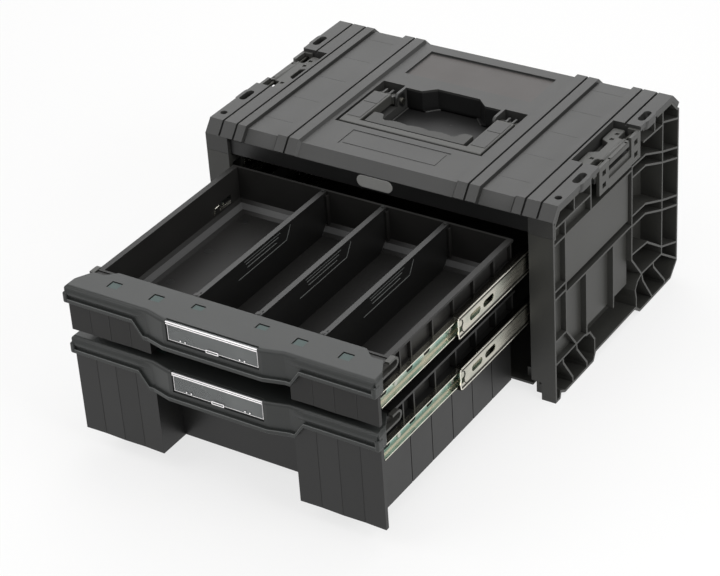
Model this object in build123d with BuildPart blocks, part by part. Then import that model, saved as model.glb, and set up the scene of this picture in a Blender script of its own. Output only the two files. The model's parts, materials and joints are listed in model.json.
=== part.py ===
from build123d import *
import os
from math import atan2, degrees, hypot

# Drawer tool box: a moulded cabinet with two drawers on ball-bearing slides.
# Millimetres. X to the right, Y to the back, Z up. The origin is on the floor,
# at the middle of the cabinet's footprint. The drawers are modelled pulled out.

os.makedirs("parts", exist_ok=True)

# Cabinet shell
cabinet_width = 450.0
cabinet_depth = 304.0
post_width = 30.0          # front posts, on each side of the opening
wall = 3.0                 # moulded wall
rib = 2.4                  # moulded rib
half_width = cabinet_width / 2
half_depth = cabinet_depth / 2
opening_half = half_width - post_width
post_bottom = 23.0         # the post is cut back to a narrow leg below this
leg_width = 17.5
leg_depth = 11.0
base_line = 12.0           # lower edge of the side panel between its feet
base_bottom = 14.0
base_top = base_bottom + wall
seam = 0.3                 # gap between mouldings that only meet at a seam
screw_fit = 0.05           # radial room of a screw or pin in its hole

# Lid
lid_thickness = 6.0
front_run = 12.0           # front chamfer
front_drop = 14.5
rear_run = 16.5            # rear chamfer
rear_drop = 16.0
skirt_height = 20.5        # lid corners reach down over the posts
lid_centre_drop = 3.6      # the lid's middle field below its outer strips
lid_field_drop = 3.2
lid_groove = 3.2           # narrow grooves along the ridges
groove_width = 2.0
ridge_gap = 7.0            # handle well to the foot of the inner ridge
ridge_width = 14.0
ridge_foot = 2.5
outer_strip = 19.0         # strip with the stacking slots
band_width = 19.0
rear_field = (84.0, 57.0, 118.5, 2.2)

# Drawers, pulled out by the full travel
travel = 294.0
front_proud = 8.0          # closed drawer fronts stand out of the cabinet
drawer_length = 293.0
slide_space = 13.0
drawer_half = opening_half - slide_space
tub_inset = {"upper": 4.0, "lower": 7.5}  # tub wall behind the slide pads; the deep tub narrows downwards
side_fields = 6            # equal fields along the tub sides, parted by ribs and grooves
front_gap = 2.0            # drawer front to post
front_half = opening_half - front_gap
front_plate = 5.0
block_depth = 40.0         # depth of the hand recess between the front blocks
block_inner = 88.0         # half width of the hand recess
floor_gap = 5.0
lower_height = 120.0
upper_height = 55.0
stack_gap = 9.0
rim_width = wall
floor_bevel = 12.0         # sloped border strip round the tub floor
front_y = -half_depth - front_proud - travel
tub_front = front_y + block_depth
tub_rear = front_y + drawer_length
lower_bottom = base_top + floor_gap
lower_rim = lower_bottom + lower_height
upper_bottom = lower_rim + stack_gap
upper_rim = upper_bottom + upper_height
header_gap = 4.0
header_bottom = upper_rim + header_gap
crown = 37.0               # header and lid above the drawers
cabinet_height = header_bottom + crown

# Fascia, the lighter moulding on each drawer front
fascia_lift = 2.0          # top of the fascia above the rim
fascia_half = front_half + 1.0
fascia_depth = 45.7        # reaches over the front wall of the tub
fascia_corner = (155.0, 167.0, 181.0)  # the rear edge steps forward between these and at the end
corner_step = 10.7
end_step = 34.0
fascia_round = 4.0
fascia_lip = 3.0           # overhang in front of the block
fascia_bow = 6.0           # the middle stands further out
bow_half = 62.0
bow_end = 86.0
fascia_end_drop = 20.0
fascia_mid_drop = 37.0
drop_start = 104.0
drop_end = 92.0
pocket_size = (13.5, 1.6)
# Place along the front, distance from the rear edge and length of each pocket
pocket_rows = ((40.0, 16.0, 9.0), (89.5, 21.5, 12.0), (144.5, 21.5, 12.0))

# Catches at the ends of the drawer front
hook_r = 5.5
hook_sheet = 2.0

# Label window
label_half = 56.0
label_height = 21.5
label_sheet = 1.4
label_pin_r = 1.5
label_bar_r = 1.9
label_lug = 3.0
label_drop = 2.8           # hinge axis below the fascia top
label_inset = 2.2          # hinge axis behind the fascia's bowed face

# Ball-bearing slides: channel heights and depths from the drawer side outwards
slide_drop = 33.0          # slide axis below the drawer rim
rail_length = 280.0
rail_gauge = 1.2
inner_rail_half = 9.0
inner_rail_depth = 6.5
middle_rail_half = 14.2
middle_web = (8.6, 9.6)
middle_tip = 2.4
outer_rail_half = 19.0
outer_tip = 3.5
rail_setback = 5.0         # closed moving rails behind the front of the posts
cabinet_rail_setback = 28.0  # clears the back of the closed fascia
cabinet_rail_length = 264.0
ball_r_inner = 1.9
ball_r_outer = 1.7
ball_room = 0.15
cage_gauge = 0.8
cage_length = 100.0
ball_count = 6
screw_r = 1.9
screw_head_r = 3.0
screw_head = 1.4

# Dividers
divider_x = (-56.0, 22.3, 101.5)
divider_plate = 3.0
divider_top = 6.5
bead_r = 3.0
guide_fit = 0.3
guide_depth = 5.0
guide_wall = 1.8

# Carry handle
handle_half = 93.0
arm_width = 23.0
handle_front = -74.0
handle_bar = 10.0
arm_end = 4.0
handle_drop = 3.5          # handle top below the lid's outer strips
handle_thickness = 12.0
hinge_y = 15.5
hinge_drop = 16.0
hinge_pin_r = 2.5
knuckle_r = 6.0
well_gap = 3.0
well_depth = 19.0
recess_depth = 29.5
recess_half = 63.0
recess_back = 26.0
ear_wall = 3.5
pocket_back_y = 29.5
pocket_depth = 25.0

# Stacking latches
latch_centre = 4.0
latch_half = 50.0
latch_recess_in = 34.0     # recess reaches in from the side of the lid
latch_depth = 19.0
latch_axis_in = 8.0
latch_axis_drop = 9.0
latch_pin_r = 2.0
latch_barrel_r = 3.7
ear_width = 22.5
ear_sheet = 4.0
ear_drop = 38.0
lobe_reach = 15.0          # finger lobes of the latch lever
neck_half = 26.0

# Stacking slots and corner holes in the lid
slot_in = 7.5
slot_front_y = -77.0
slot_rear_y = 78.5
slot_length = 24.0
slot_width = 9.0
slot_rim = 4.5
slot_rim_height = 10.0
corner_hole_r = 4.2
corner_hole_in = 8.0
corner_hole_y = -124.0


def save(builder, label):
    builder.part.label = label
    export_step(builder.part, f"parts/{label}.step")


def block(x, y, z, mode=Mode.ADD):
    """Box between two limits on each axis."""
    middle = tuple((low + high) / 2 for low, high in (x, y, z))
    size = [abs(high - low) for low, high in (x, y, z)]
    with Locations(middle):
        Box(*size, mode=mode)


def both(low, high, side):
    """Limits on the left (-1) or right (+1) side, given as distances from the middle."""
    return sorted((side * low, side * high))


def rod(centre, radius, length, axis, mode=Mode.ADD):
    """Cylinder along X, Y or Z with its middle at centre."""
    turn = {"x": (0, 90, 0), "y": (90, 0, 0), "z": (0, 0, 0)}[axis]
    with Locations(Location(centre, turn)):
        Cylinder(radius, length, mode=mode)


def bar(start, end, thickness):
    """Straight rib in a sketch, from one point to another."""
    run, rise = end[0] - start[0], end[1] - start[1]
    with Locations(((start[0] + end[0]) / 2, (start[1] + end[1]) / 2)):
        Rectangle(hypot(run, rise) + thickness, thickness, rotation=degrees(atan2(rise, run)))


def rib_path(points, thickness=rib):
    for start, end in zip(points, points[1:]):
        bar(start, end, thickness)


def mirrored(source):
    """The left-hand copy of a right-hand piece."""
    with BuildPart() as copy:
        mirror(source.part, about=Plane.YZ)
    return copy


# Top cover
lid_edge = cabinet_height - front_drop            # lower edge of the front chamfer
lid_under = cabinet_height - lid_thickness
well_half = handle_half + well_gap
well_front = handle_front - well_gap
handle_top = cabinet_height - handle_drop
hinge_z = cabinet_height - hinge_drop
well_floor = cabinet_height - well_depth
recess_floor = cabinet_height - recess_depth
pocket_floor = cabinet_height - pocket_depth
latch_floor = cabinet_height - latch_depth
latch_axis_z = cabinet_height - latch_axis_drop
ear_bottom = cabinet_height - ear_drop
recess_front = handle_front + handle_bar + 2.0
recess_outline = [
    (-recess_half, recess_front),
    (recess_half, recess_front),
    (recess_half, recess_back),
    (recess_half - 21.0, recess_back),
    (recess_half - 35.0, recess_back + 12.5),
    (35.0 - recess_half, recess_back + 12.5),
    (21.0 - recess_half, recess_back),
    (-recess_half, recess_back),
]
latch_front = latch_centre - latch_half
latch_rear = latch_centre + latch_half
latch_inner = half_width - latch_recess_in
latch_axis_x = half_width - latch_axis_in
latch_wall_x = half_width - ear_sheet - 0.5       # lid recess floor stops behind the latch ears

ridge_in = well_half + ridge_gap
field_in = ridge_in + 2 * ridge_width
strip_in = half_width - outer_strip
band_in = strip_in - band_width
field_out = band_in - ridge_width + 1.5


def lid_groove_points(x):
    """Narrow groove across the lid's section, with slightly open sides."""
    half = groove_width / 2
    return [(x - half - seam, 0.0), (x - half, lid_groove), (x + half, lid_groove), (x + half + seam, 0.0)]


lid_half_profile = [
    (ridge_in - ridge_foot, lid_centre_drop),
    (ridge_in, 0.0),
    *lid_groove_points(ridge_in + ridge_width),
    (field_in - seam, 0.0),
    (field_in, lid_field_drop + 1.0),
    (field_in + groove_width, lid_field_drop + 1.0),
    (field_in + groove_width, lid_field_drop),
    (field_out - groove_width, lid_field_drop),
    (field_out - groove_width, lid_field_drop + 1.0),
    (field_out, lid_field_drop + 1.0),
    (field_out + seam, 0.0),
    *lid_groove_points(band_in),
    *lid_groove_points(strip_in),
    (half_width, 0.0),
]
lid_profile = [(-x, drop) for x, drop in reversed(lid_half_profile)] + lid_half_profile
lid_profile += [(half_width, lid_thickness), (-half_width, lid_thickness)]



def slot_places(side):
    x = side * (half_width - slot_in)
    return (x, slot_front_y), (x, slot_rear_y)


with BuildPart() as top_cover:
    # A ridged sheet that follows the front chamfer, the top and the rear chamfer
    with BuildLine() as lid_path:
        Polyline(
            (0, -half_depth, lid_edge),
            (0, -half_depth + front_run, cabinet_height),
            (0, half_depth - rear_run, cabinet_height),
            (0, half_depth, cabinet_height - rear_drop),
        )
    lid_plane = Plane(origin=(0, -half_depth, lid_edge), x_dir=(1, 0, 0), z_dir=(0, front_run, front_drop))
    with BuildSketch(lid_plane):
        with BuildLine():
            Polyline(*lid_profile, close=True)
        make_face()
    sweep(path=lid_path.line, transition=Transition.RIGHT)
    # Walls of the handle well, the finger recess and the latch recesses
    block((-well_half - wall, well_half + wall), (well_front - wall, arm_end + 2 * wall),
          (well_floor - wall, lid_under + 1.0))
    with BuildSketch(Plane.XY.offset(recess_floor - wall)):
        with BuildLine():
            Polyline(*recess_outline, close=True)
        make_face()
        offset(amount=wall, kind=Kind.INTERSECTION)
    extrude(amount=lid_under + 1.0 - (recess_floor - wall))
    for side in (-1, 1):
        block(both(recess_half, well_half + wall, side), (arm_end - wall, pocket_back_y + wall),
              (pocket_floor - wall, lid_under + 1.0))
        block(both(latch_inner - wall, latch_wall_x, side), (latch_front - wall, latch_rear + wall),
              (latch_floor - wall, lid_under + 1.0))
        # Corner skirts over the posts
        block(both(opening_half, half_width, side), (-half_depth, -half_depth + wall),
              (lid_edge - skirt_height, lid_edge))
        # Rims of the stacking slots stand a little out of the side
        with BuildSketch(Plane.XY.offset(cabinet_height - slot_rim_height)):
            with Locations(*slot_places(side)):
                SlotOverall(slot_length + 2 * slot_rim, slot_width + 2 * slot_rim, rotation=90)
        extrude(amount=slot_rim_height)
    # Backing of the rear field
    field_z = cabinet_height - lid_centre_drop
    field_half, field_front_y, field_back_y, field_depth = rear_field
    block((-field_half - wall, field_half + wall), (field_front_y - wall, field_back_y + wall),
          (field_z - field_depth - rib, lid_under + 1.0))
    # Hollows, cut from above
    block((-well_half, well_half), (well_front, arm_end + 0.5), (well_floor, cabinet_height + 1.0),
          Mode.SUBTRACT)
    with BuildSketch(Plane.XY.offset(recess_floor)):
        with BuildLine():
            Polyline(*recess_outline, close=True)
        make_face()
    extrude(amount=cabinet_height + 1.0 - recess_floor, mode=Mode.SUBTRACT)
    for side in (-1, 1):
        block(both(recess_half + ear_wall, well_half, side), (arm_end, pocket_back_y),
              (pocket_floor, cabinet_height + 1.0), Mode.SUBTRACT)
        block(both(latch_inner, half_width + 5.0, side), (latch_front, latch_rear),
              (latch_floor, cabinet_height + 1.0), Mode.SUBTRACT)
        rod((side * (half_width - corner_hole_in), corner_hole_y, cabinet_height), corner_hole_r,
            4 * lid_thickness, "z", Mode.SUBTRACT)
        with BuildSketch(Plane.XY.offset(cabinet_height - slot_rim_height)):
            with Locations(*slot_places(side)):
                SlotOverall(slot_length, slot_width, rotation=90)
        extrude(amount=slot_rim_height, mode=Mode.SUBTRACT)
        rod((side * (recess_half + 17.0), hinge_y, hinge_z), hinge_pin_r + screw_fit,
            2 * (well_half - recess_half), "x", Mode.SUBTRACT)
    ear_edges = top_cover.edges().filter_by(Axis.X).filter_by(
        lambda edge: abs(abs(edge.center().X) - recess_half - ear_wall / 2) < 0.01
        and abs(edge.center().Y - arm_end - 0.5) < 0.01
        and edge.center().Z > hinge_z)
    fillet(ear_edges, 6.0)
    # Plain shallow fields in front of and behind the handle
    block((-64.0, 64.0), (-121.0, -87.0), (field_z - 0.6, field_z + 1.0), Mode.SUBTRACT)
    block((-60.0, 60.0), (-117.0, -91.0), (field_z - 0.8, field_z - 0.2))
    block((-field_half, field_half), (field_front_y, field_back_y), (field_z - field_depth, field_z + 1.0),
          Mode.SUBTRACT)
save(top_cover, "top_cover")


# Side panels
def chamfer_inset(run, drop, inset):
    """Shift, level and upright, that moves a chamfer line inwards by inset."""
    length = hypot(run, drop)
    return inset * drop / length, inset * run / length


inset = lid_thickness + seam
front_in, front_down = chamfer_inset(front_run, front_drop, inset)
rear_in, rear_down = chamfer_inset(rear_run, rear_drop, inset)
skirt_bottom = lid_edge - skirt_height
panel_top = lid_under
front_line = -half_depth + wall + seam            # panel edge behind the lid's skirt


def front_chamfer_z(y):
    return lid_edge - front_down + (y + half_depth - front_in) * front_drop / front_run


front_top_y = -half_depth + front_in + (panel_top - lid_edge + front_down) * front_run / front_drop
rear_low_z = cabinet_height - rear_drop - rear_down
rear_top_y = half_depth - rear_in - (panel_top - rear_low_z) * rear_run / rear_drop
foot_low = 2.0
leg_back = -half_depth + leg_depth
flange_mid = wall / 2
front_mid = -half_depth + flange_mid
rear_mid = half_depth - wall / 2 - 0.4
side_outline = [
    (-half_depth, 0.0),
    (leg_back, 0.0),
    (leg_back + 2.0, 7.0),
    (leg_back + 11.0, foot_low),
    (-62.0, foot_low),
    (-56.0, base_line),
    (42.0, base_line),
    (54.0, foot_low),
    (half_depth - rear_run, foot_low),
    (half_depth, foot_low + rear_run),
    (half_depth, rear_low_z - 3.0),
    (half_depth - rear_in, rear_low_z),
    (rear_top_y, panel_top),
    (front_top_y, panel_top),
    (front_line, front_chamfer_z(front_line)),
    (front_line, skirt_bottom - seam),
    (-half_depth, skirt_bottom - seam),
]
column_y = -124.5          # rib behind the post
field_rear_y = 33.0        # rib behind the smooth field
rear_column_y = 110.0
upper_row = panel_top - 19.0
field_top = panel_top - 38.5
field_low = 0.54 * panel_top
foot_roof = 50.0
post_rows = [share * panel_top for share in (0.332, 0.556, 0.598)]
panel_ribs = [
    [(column_y, upper_row), (column_y, 80.0), (-102.0, foot_roof), (-101.0, 42.0), (-78.0, 11.0),
     (-78.0, 3.5)],
    [(-134.0, foot_roof), (-133.0, 43.0), (-112.0, 12.0), (-111.0, 3.5)],
    [(front_mid, foot_roof), (-84.0, foot_roof), (-70.0, 46.0), (-59.0, 31.0), (-59.0, base_line)],
    [(front_line + flange_mid, upper_row), (-65.5, upper_row)],
    [(front_mid, field_top), (field_rear_y, field_top)],
    [(column_y, field_low), (field_rear_y, field_low)],
    [(-103.5, panel_top - flange_mid), (-103.5, upper_row)],
    [(-65.5, panel_top - flange_mid), (-65.5, field_top)],
    [(field_rear_y, field_top + 3.5), (field_rear_y, 84.0), (58.0, 52.0), (62.0, 40.0), (87.0, 3.5)],
    [(rear_column_y, panel_top - flange_mid), (rear_column_y, foot_roof)],
    [(62.0, upper_row + 2.0), (rear_column_y, upper_row)],
    [(rear_column_y, upper_row + 3.0), (rear_mid, upper_row - 11.0)],
    [(89.5, panel_top - flange_mid), (89.5, upper_row + 2.0)],
    [(rear_column_y, foot_roof), (58.0, 52.0), (48.0, 47.0), (42.0, 38.0), (45.0, 26.0), (45.0, base_line)],
    [(88.0, foot_roof), (90.0, 43.0), (119.0, 9.0), (119.0, 3.5)],
    [(rear_column_y, foot_roof), (rear_mid, 22.0)],
    [(field_rear_y, 91.0), (72.0, 87.0), (rear_column_y, 60.0), (rear_mid, 45.0)],
]
for share in (0.855, 0.797, 0.589, 0.535):
    row = share * panel_top
    panel_ribs.append([(field_rear_y, row), (67.0, row - 1.0), (rear_column_y, row - 19.0),
                       (rear_mid, row - 33.0)])
for row in post_rows:
    panel_ribs.append([(front_mid, row), (column_y, row)])

smooth_out = half_width - 3.0                      # face of the smooth field
post_wall_out = half_width - 6.5                   # back of the shallow pockets behind the post
bay_wall_out = half_width - 7.0                    # wall of the lower bay
bay_slope_top = 50.0                               # the bay wall slopes in below this
bay_slope_low = 38.0
bay_rib_y = (-77.4, -12.8)
bay_rib_low = 46.0
boss_depth = 12.0
boss_height = 12.0
boss_y = (half_depth - wall - 13.0, half_depth - 2 * wall)
boss_z = (40.0, cabinet_height - 32.0)
base_boss_y = (-133.0, 118.0)
base_boss = 12.0

slide_z = {"upper": upper_rim - slide_drop, "lower": lower_rim - slide_drop}
rail_front = -half_depth + rail_setback
cabinet_rail_front = -half_depth + cabinet_rail_setback
cabinet_rail_rear = cabinet_rail_front + cabinet_rail_length
cabinet_screw_y = [cabinet_rail_front + cabinet_rail_length * share for share in (0.1, 0.5, 0.9)]

with BuildPart() as right_side_panel:
    with BuildSketch(Plane.YZ.offset(opening_half)):
        with BuildLine():
            Polyline(*side_outline, close=True)
        make_face()
    extrude(amount=wall)
    with BuildSketch(Plane.YZ.offset(opening_half)):
        with BuildLine():
            Polyline(*side_outline, close=True)
        make_face()
        offset(amount=-wall, kind=Kind.INTERSECTION, mode=Mode.SUBTRACT)
        for points in panel_ribs:
            rib_path(points)
    extrude(amount=post_width)
    # Smooth raised field, hollow behind and open below
    block((opening_half + wall, smooth_out), (column_y, field_rear_y - 4.0), (field_low + 8.0, field_top))
    block((opening_half + wall, smooth_out - wall), (column_y + wall, field_rear_y - 4.0 - wall),
          (field_low + 7.0, field_top - wall), Mode.SUBTRACT)
    # Wall of the lower bay, hollow behind, with two upright ribs
    wall_out = opening_half + wall
    with BuildSketch(Plane.XZ.offset(-field_rear_y)):
        with BuildLine():
            Polyline((wall_out - 1.0, field_low), (bay_wall_out, field_low), (bay_wall_out, bay_slope_top),
                     (wall_out - 1.0, bay_slope_low), close=True)
        make_face()
    extrude(amount=field_rear_y - column_y)
    with BuildSketch(Plane.XZ.offset(wall - field_rear_y)):
        with BuildLine():
            Polyline((wall_out, field_low - wall), (bay_wall_out - wall, field_low - wall),
                     (bay_wall_out - wall, bay_slope_top + rib), (wall_out, bay_slope_low + 2 * wall),
                     close=True)
        make_face()
    extrude(amount=field_rear_y - column_y - 2 * wall, mode=Mode.SUBTRACT)
    for y in bay_rib_y:
        block((bay_wall_out - 4 * wall, half_width), (y - rib / 2, y + rib / 2), (bay_rib_low, field_low))
    # Shallow pockets behind the post and in the row above the smooth field
    block((post_wall_out - wall, post_wall_out), (-half_depth + wall, column_y), (foot_roof, upper_row))
    block((post_wall_out - wall, post_wall_out), (column_y, -65.5), (field_top, upper_row))
    # Room for the latch and the lid's latch recess
    block((opening_half - 1.0, half_width + 1.0), (latch_front - 2 * wall, latch_rear + 2 * wall),
          (latch_floor - wall - 0.2, panel_top + 1.0), Mode.SUBTRACT)
    # Room for the rims of the lid's stacking slots
    rim_reach = slot_length / 2 + slot_rim + seam
    for y in (slot_front_y, slot_rear_y):
        block((half_width - slot_in - slot_width / 2 - slot_rim - seam, half_width + 1.0),
              (y - rim_reach, y + rim_reach), (cabinet_height - slot_rim_height - seam, panel_top + 1.0),
              Mode.SUBTRACT)
    # The hollow of the lower bay and the cells behind the shallow pockets are open to the inside
    block((opening_half - 1.0, wall_out + 1.0), (column_y + 4 * wall, field_rear_y - 4 * wall),
          (bay_slope_low + 5 * wall, slide_z["lower"] - outer_rail_half - wall), Mode.SUBTRACT)
    cell_rows = [foot_roof, *post_rows, field_top, upper_row]
    for low, high in zip(cell_rows, cell_rows[1:]):
        block((opening_half - 1.0, opening_half + wall + 1.0), (-half_depth + 2 * wall, column_y - wall),
              (low + 2 * rib, high - 2 * rib), Mode.SUBTRACT)
    block((opening_half - 1.0, opening_half + wall + 1.0), (column_y + wall, -65.5 - wall),
          (field_top + wall, upper_row - wall), Mode.SUBTRACT)
    # The post narrows to a leg
    block((opening_half - 1.0, half_width - leg_width), (-half_depth - 1.0, leg_back), (-1.0, post_bottom),
          Mode.SUBTRACT)
    # Pads that carry the weight
    block((opening_half + wall, half_width - wall), (-91.0, -69.0), (0.0, foot_low))
    block((opening_half + wall, half_width - wall), (62.0, 86.0), (0.0, foot_low))
    # Screw bosses for the rear panel and the base
    for z in boss_z:
        block((opening_half - boss_depth, opening_half), boss_y, (z - boss_height / 2, z + boss_height / 2))
        rod((opening_half - boss_depth / 2, boss_y[1], z), screw_r + screw_fit, 2 * boss_depth, "y",
            Mode.SUBTRACT)
    for y in base_boss_y:
        block((opening_half - boss_depth, opening_half), (y - base_boss / 2, y + base_boss / 2),
              (base_top, base_top + base_boss))
        rod((opening_half - boss_depth / 2, y, base_top), screw_r + screw_fit, 2 * base_boss, "z",
            Mode.SUBTRACT)
    for z in slide_z.values():
        for y in cabinet_screw_y:
            rod((opening_half + wall / 2, y, z), screw_r + screw_fit, 4 * wall, "x", Mode.SUBTRACT)
save(right_side_panel, "right_side_panel")
left_side_panel = mirrored(right_side_panel)
save(left_side_panel, "left_side_panel")

# Rear panel, base panel and front header close the shell between the side panels
rear_out = half_depth - wall
with BuildPart() as rear_panel:
    block((-opening_half, opening_half), (rear_out - wall, rear_out), (base_top, rear_low_z - seam))
    for x in (-120.0, -40.0, 40.0, 120.0):
        block((x - rib / 2, x + rib / 2), (rear_out, half_depth), (base_top + 20.0, rear_low_z - 15.0))
    for z in (70.0, 160.0):
        block((-160.0, 160.0), (rear_out, half_depth), (z - rib / 2, z + rib / 2))
    for side in (-1, 1):
        for z in boss_z:
            rod((side * (opening_half - boss_depth / 2), rear_out, z), screw_r + screw_fit, 4 * wall, "y",
                Mode.SUBTRACT)
save(rear_panel, "rear_panel")

with BuildPart() as base_panel:
    block((-opening_half, opening_half), (-half_depth + wall, rear_out), (base_bottom, base_top))
    for y in (-110.0, -40.0, 30.0, 90.0):
        block((-opening_half + 20.0, opening_half - 20.0), (y - rib / 2, y + rib / 2),
              (base_bottom - 6.0, base_bottom))
    for side in (-1, 1):
        for y in base_boss_y:
            rod((side * (opening_half - boss_depth / 2), y, base_bottom), screw_r + screw_fit, 4 * wall, "z",
                Mode.SUBTRACT)
save(base_panel, "base_panel")

header_front = -half_depth + 5.0
header_top = front_chamfer_z(header_front) - seam
with BuildPart() as front_header:
    block((-opening_half, opening_half), (header_front, header_front + wall), (header_bottom, header_top))
    block((-opening_half, opening_half), (header_front + wall, header_front + 15.0),
          (header_bottom, header_bottom + wall))
save(front_header, "front_header")

badge_size = (46.0, 15.0)
badge_thick = 1.2
with BuildPart() as badge_plate:
    with BuildSketch(Plane.XZ.offset(-header_front)):
        with Locations((0, (header_bottom + header_top) / 2 + 1.0)):
            SlotOverall(*badge_size)
    extrude(amount=badge_thick)
    fillet(badge_plate.faces().sort_by(Axis.Y)[0].edges(), 0.6)
save(badge_plate, "badge_plate")

with BuildPart() as cabinet_screws:
    for side in (-1, 1):
        x = side * (opening_half - boss_depth / 2)
        for z in boss_z:
            rod((x, rear_out + screw_head / 2, z), screw_head_r, screw_head, "y")
            rod((x, rear_out - 5.0, z), screw_r, 10.0, "y")
        for y in base_boss_y:
            rod((x, y, base_bottom - screw_head / 2), screw_head_r, screw_head, "z")
            rod((x, y, base_bottom + 5.0), screw_r, 10.0, "z")
save(cabinet_screws, "cabinet_screws")

# Carry handle, its grip insert and its hinge pins
handle_low = handle_top - handle_thickness
arm_inner = handle_half - arm_width
handle_skin = 2.5
grip_half = arm_inner - 5.0
grip_front = handle_front + handle_bar
knuckle_in = recess_half + ear_wall + 1.5
knuckle_out = handle_half - 1.0

with BuildPart() as carry_handle:
    with BuildSketch(Plane.XY.offset(handle_low)):
        with BuildLine():
            Polyline(
                (-handle_half, arm_end),
                (-handle_half, handle_front),
                (handle_half, handle_front),
                (handle_half, arm_end),
                (arm_inner, arm_end),
                (arm_inner, grip_front),
                (-arm_inner, grip_front),
                (-arm_inner, arm_end),
                close=True,
            )
        make_face()
    extrude(amount=handle_thickness)
    top_edges = carry_handle.edges().group_by(Axis.Z)[-1]
    fillet(top_edges, 1.2)
    # The arms and the bar are hollow from below
    with BuildSketch(Plane.XY.offset(handle_low)):
        for side in (-1, 1):
            with Locations((side * (arm_inner + handle_half) / 2, (grip_front + arm_end) / 2)):
                Rectangle(arm_width - 2 * handle_skin, arm_end - grip_front - 2 * handle_skin)
        with Locations((0, (handle_front + grip_front) / 2)):
            Rectangle(2 * handle_half - 2 * handle_skin, handle_bar - 2 * handle_skin)
    extrude(amount=handle_thickness - handle_skin, mode=Mode.SUBTRACT)
    # Knuckles reach back to the hinge
    for side in (-1, 1):
        with BuildSketch(Plane.YZ.offset(side * knuckle_in)):
            with Locations((hinge_y, hinge_z)):
                Circle(knuckle_r)
            with BuildLine():
                Polyline(
                    (arm_end - 1.0, handle_low),
                    (hinge_y, hinge_z - knuckle_r),
                    (hinge_y, hinge_z + knuckle_r),
                    (arm_end - 1.0, handle_top - 3.0),
                    close=True,
                )
            make_face()
        extrude(amount=side * (knuckle_out - knuckle_in))
        rod((side * (knuckle_in + knuckle_out) / 2, hinge_y, hinge_z), hinge_pin_r + screw_fit,
            arm_width + 10.0, "x", Mode.SUBTRACT)
save(carry_handle, "carry_handle")

grip_top = handle_top
grip_low = handle_low + 4.0
with BuildPart() as handle_grip:
    with BuildSketch(Plane.XY.offset(grip_low)):
        with BuildLine():
            Polyline((-grip_half, -40.5), (-grip_half, grip_front + 1.0), (grip_half, grip_front + 1.0),
                     (grip_half, -40.5))
            Line((grip_half, -40.5), (grip_half - 9.0, -40.5))
            Spline((grip_half - 9.0, -40.5), (grip_half - 15.0, -46.0), (grip_half - 22.0, -52.5),
                   tangents=((-1, 0), (-1, 0)))
            for wave in range(3):
                crest = grip_half - 22.0 - wave * 2 * (grip_half - 22.0) / 3
                ThreePointArc((crest, -52.5), (crest - (grip_half - 22.0) / 3, -50.0),
                              (crest - 2 * (grip_half - 22.0) / 3, -52.5))
            Spline((22.0 - grip_half, -52.5), (15.0 - grip_half, -46.0), (9.0 - grip_half, -40.5),
                   tangents=((-1, 0), (-1, 0)))
            Line((9.0 - grip_half, -40.5), (-grip_half, -40.5))
        make_face()
    extrude(amount=grip_top - grip_low)
    # Tongue that joins the grip to the bar
    block((-grip_half, grip_half), (grip_front, grip_front + 6.0), (handle_low + 1.0, grip_low + 1.0))
save(handle_grip, "handle_grip")

pin_head_r = 4.0
with BuildPart() as handle_pins:
    for side in (-1, 1):
        inner, outer = recess_half - 2.0, well_half + 2.0
        rod((side * (inner + outer) / 2, hinge_y, hinge_z), hinge_pin_r, outer - inner, "x")
        rod((side * (recess_half - 1.0), hinge_y, hinge_z), pin_head_r, 2.0, "x")
save(handle_pins, "handle_pins")

# Stacking latch: a frame fixed in the lid recess, a lever and its hinge pin
lug = 4.0
lever_half = latch_half - lug - 1.0
finger_half = 16.0
lever_in = latch_inner + 3.0
bar_top = ear_bottom + 11.0
with BuildPart() as right_latch_frame:
    ends = (latch_front + 0.5, latch_rear - 0.5)
    bar_y = (ends[0] + ear_width, ends[1] - ear_width)
    block((latch_inner + 1.0, half_width - ear_sheet), ends, (latch_floor, latch_floor + wall))
    block((latch_axis_x - 11.0, half_width), bar_y, (latch_floor, latch_floor + 2 * wall), Mode.SUBTRACT)
    block((half_width - ear_sheet, half_width), bar_y, (ear_bottom - 1.0, bar_top))
    block((half_width - ear_sheet, half_width - 2.0), bar_y, (bar_top, latch_floor))
    for end, inward in ((ends[0], 1), (ends[1], -1)):
        ear_y = sorted((end, end + inward * ear_width))
        ear_mid = (ear_y[0] + ear_y[1]) / 2
        block((half_width - ear_sheet, half_width), ear_y, (ear_bottom, handle_top))
        block((latch_axis_x - 6.0, half_width - ear_sheet), sorted((end, end + inward * lug)),
              (latch_floor, handle_top))
        for z in (ear_bottom + 9.0, handle_top - 10.0):
            block((half_width - ear_sheet - 1.0, half_width + 1.0), (ear_mid - 4.0, ear_mid + 4.0),
                  (z - 3.0, z + 3.0), Mode.SUBTRACT)
    rod((latch_axis_x, latch_centre, latch_axis_z), latch_pin_r + screw_fit, 2 * latch_half + 4.0, "y",
        Mode.SUBTRACT)
save(right_latch_frame, "right_latch_frame")
save(mirrored(right_latch_frame), "left_latch_frame")

# Square dimples of the lever: place along and across it, and size
lobe_dimples = [(y, 8.0, 4.6) for y in (-28.0, 20.0, 33.0)]
lever_dimples = lobe_dimples + [(-20.0, 26.0, 3.0), (20.0, 26.0, 3.0)]

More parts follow.
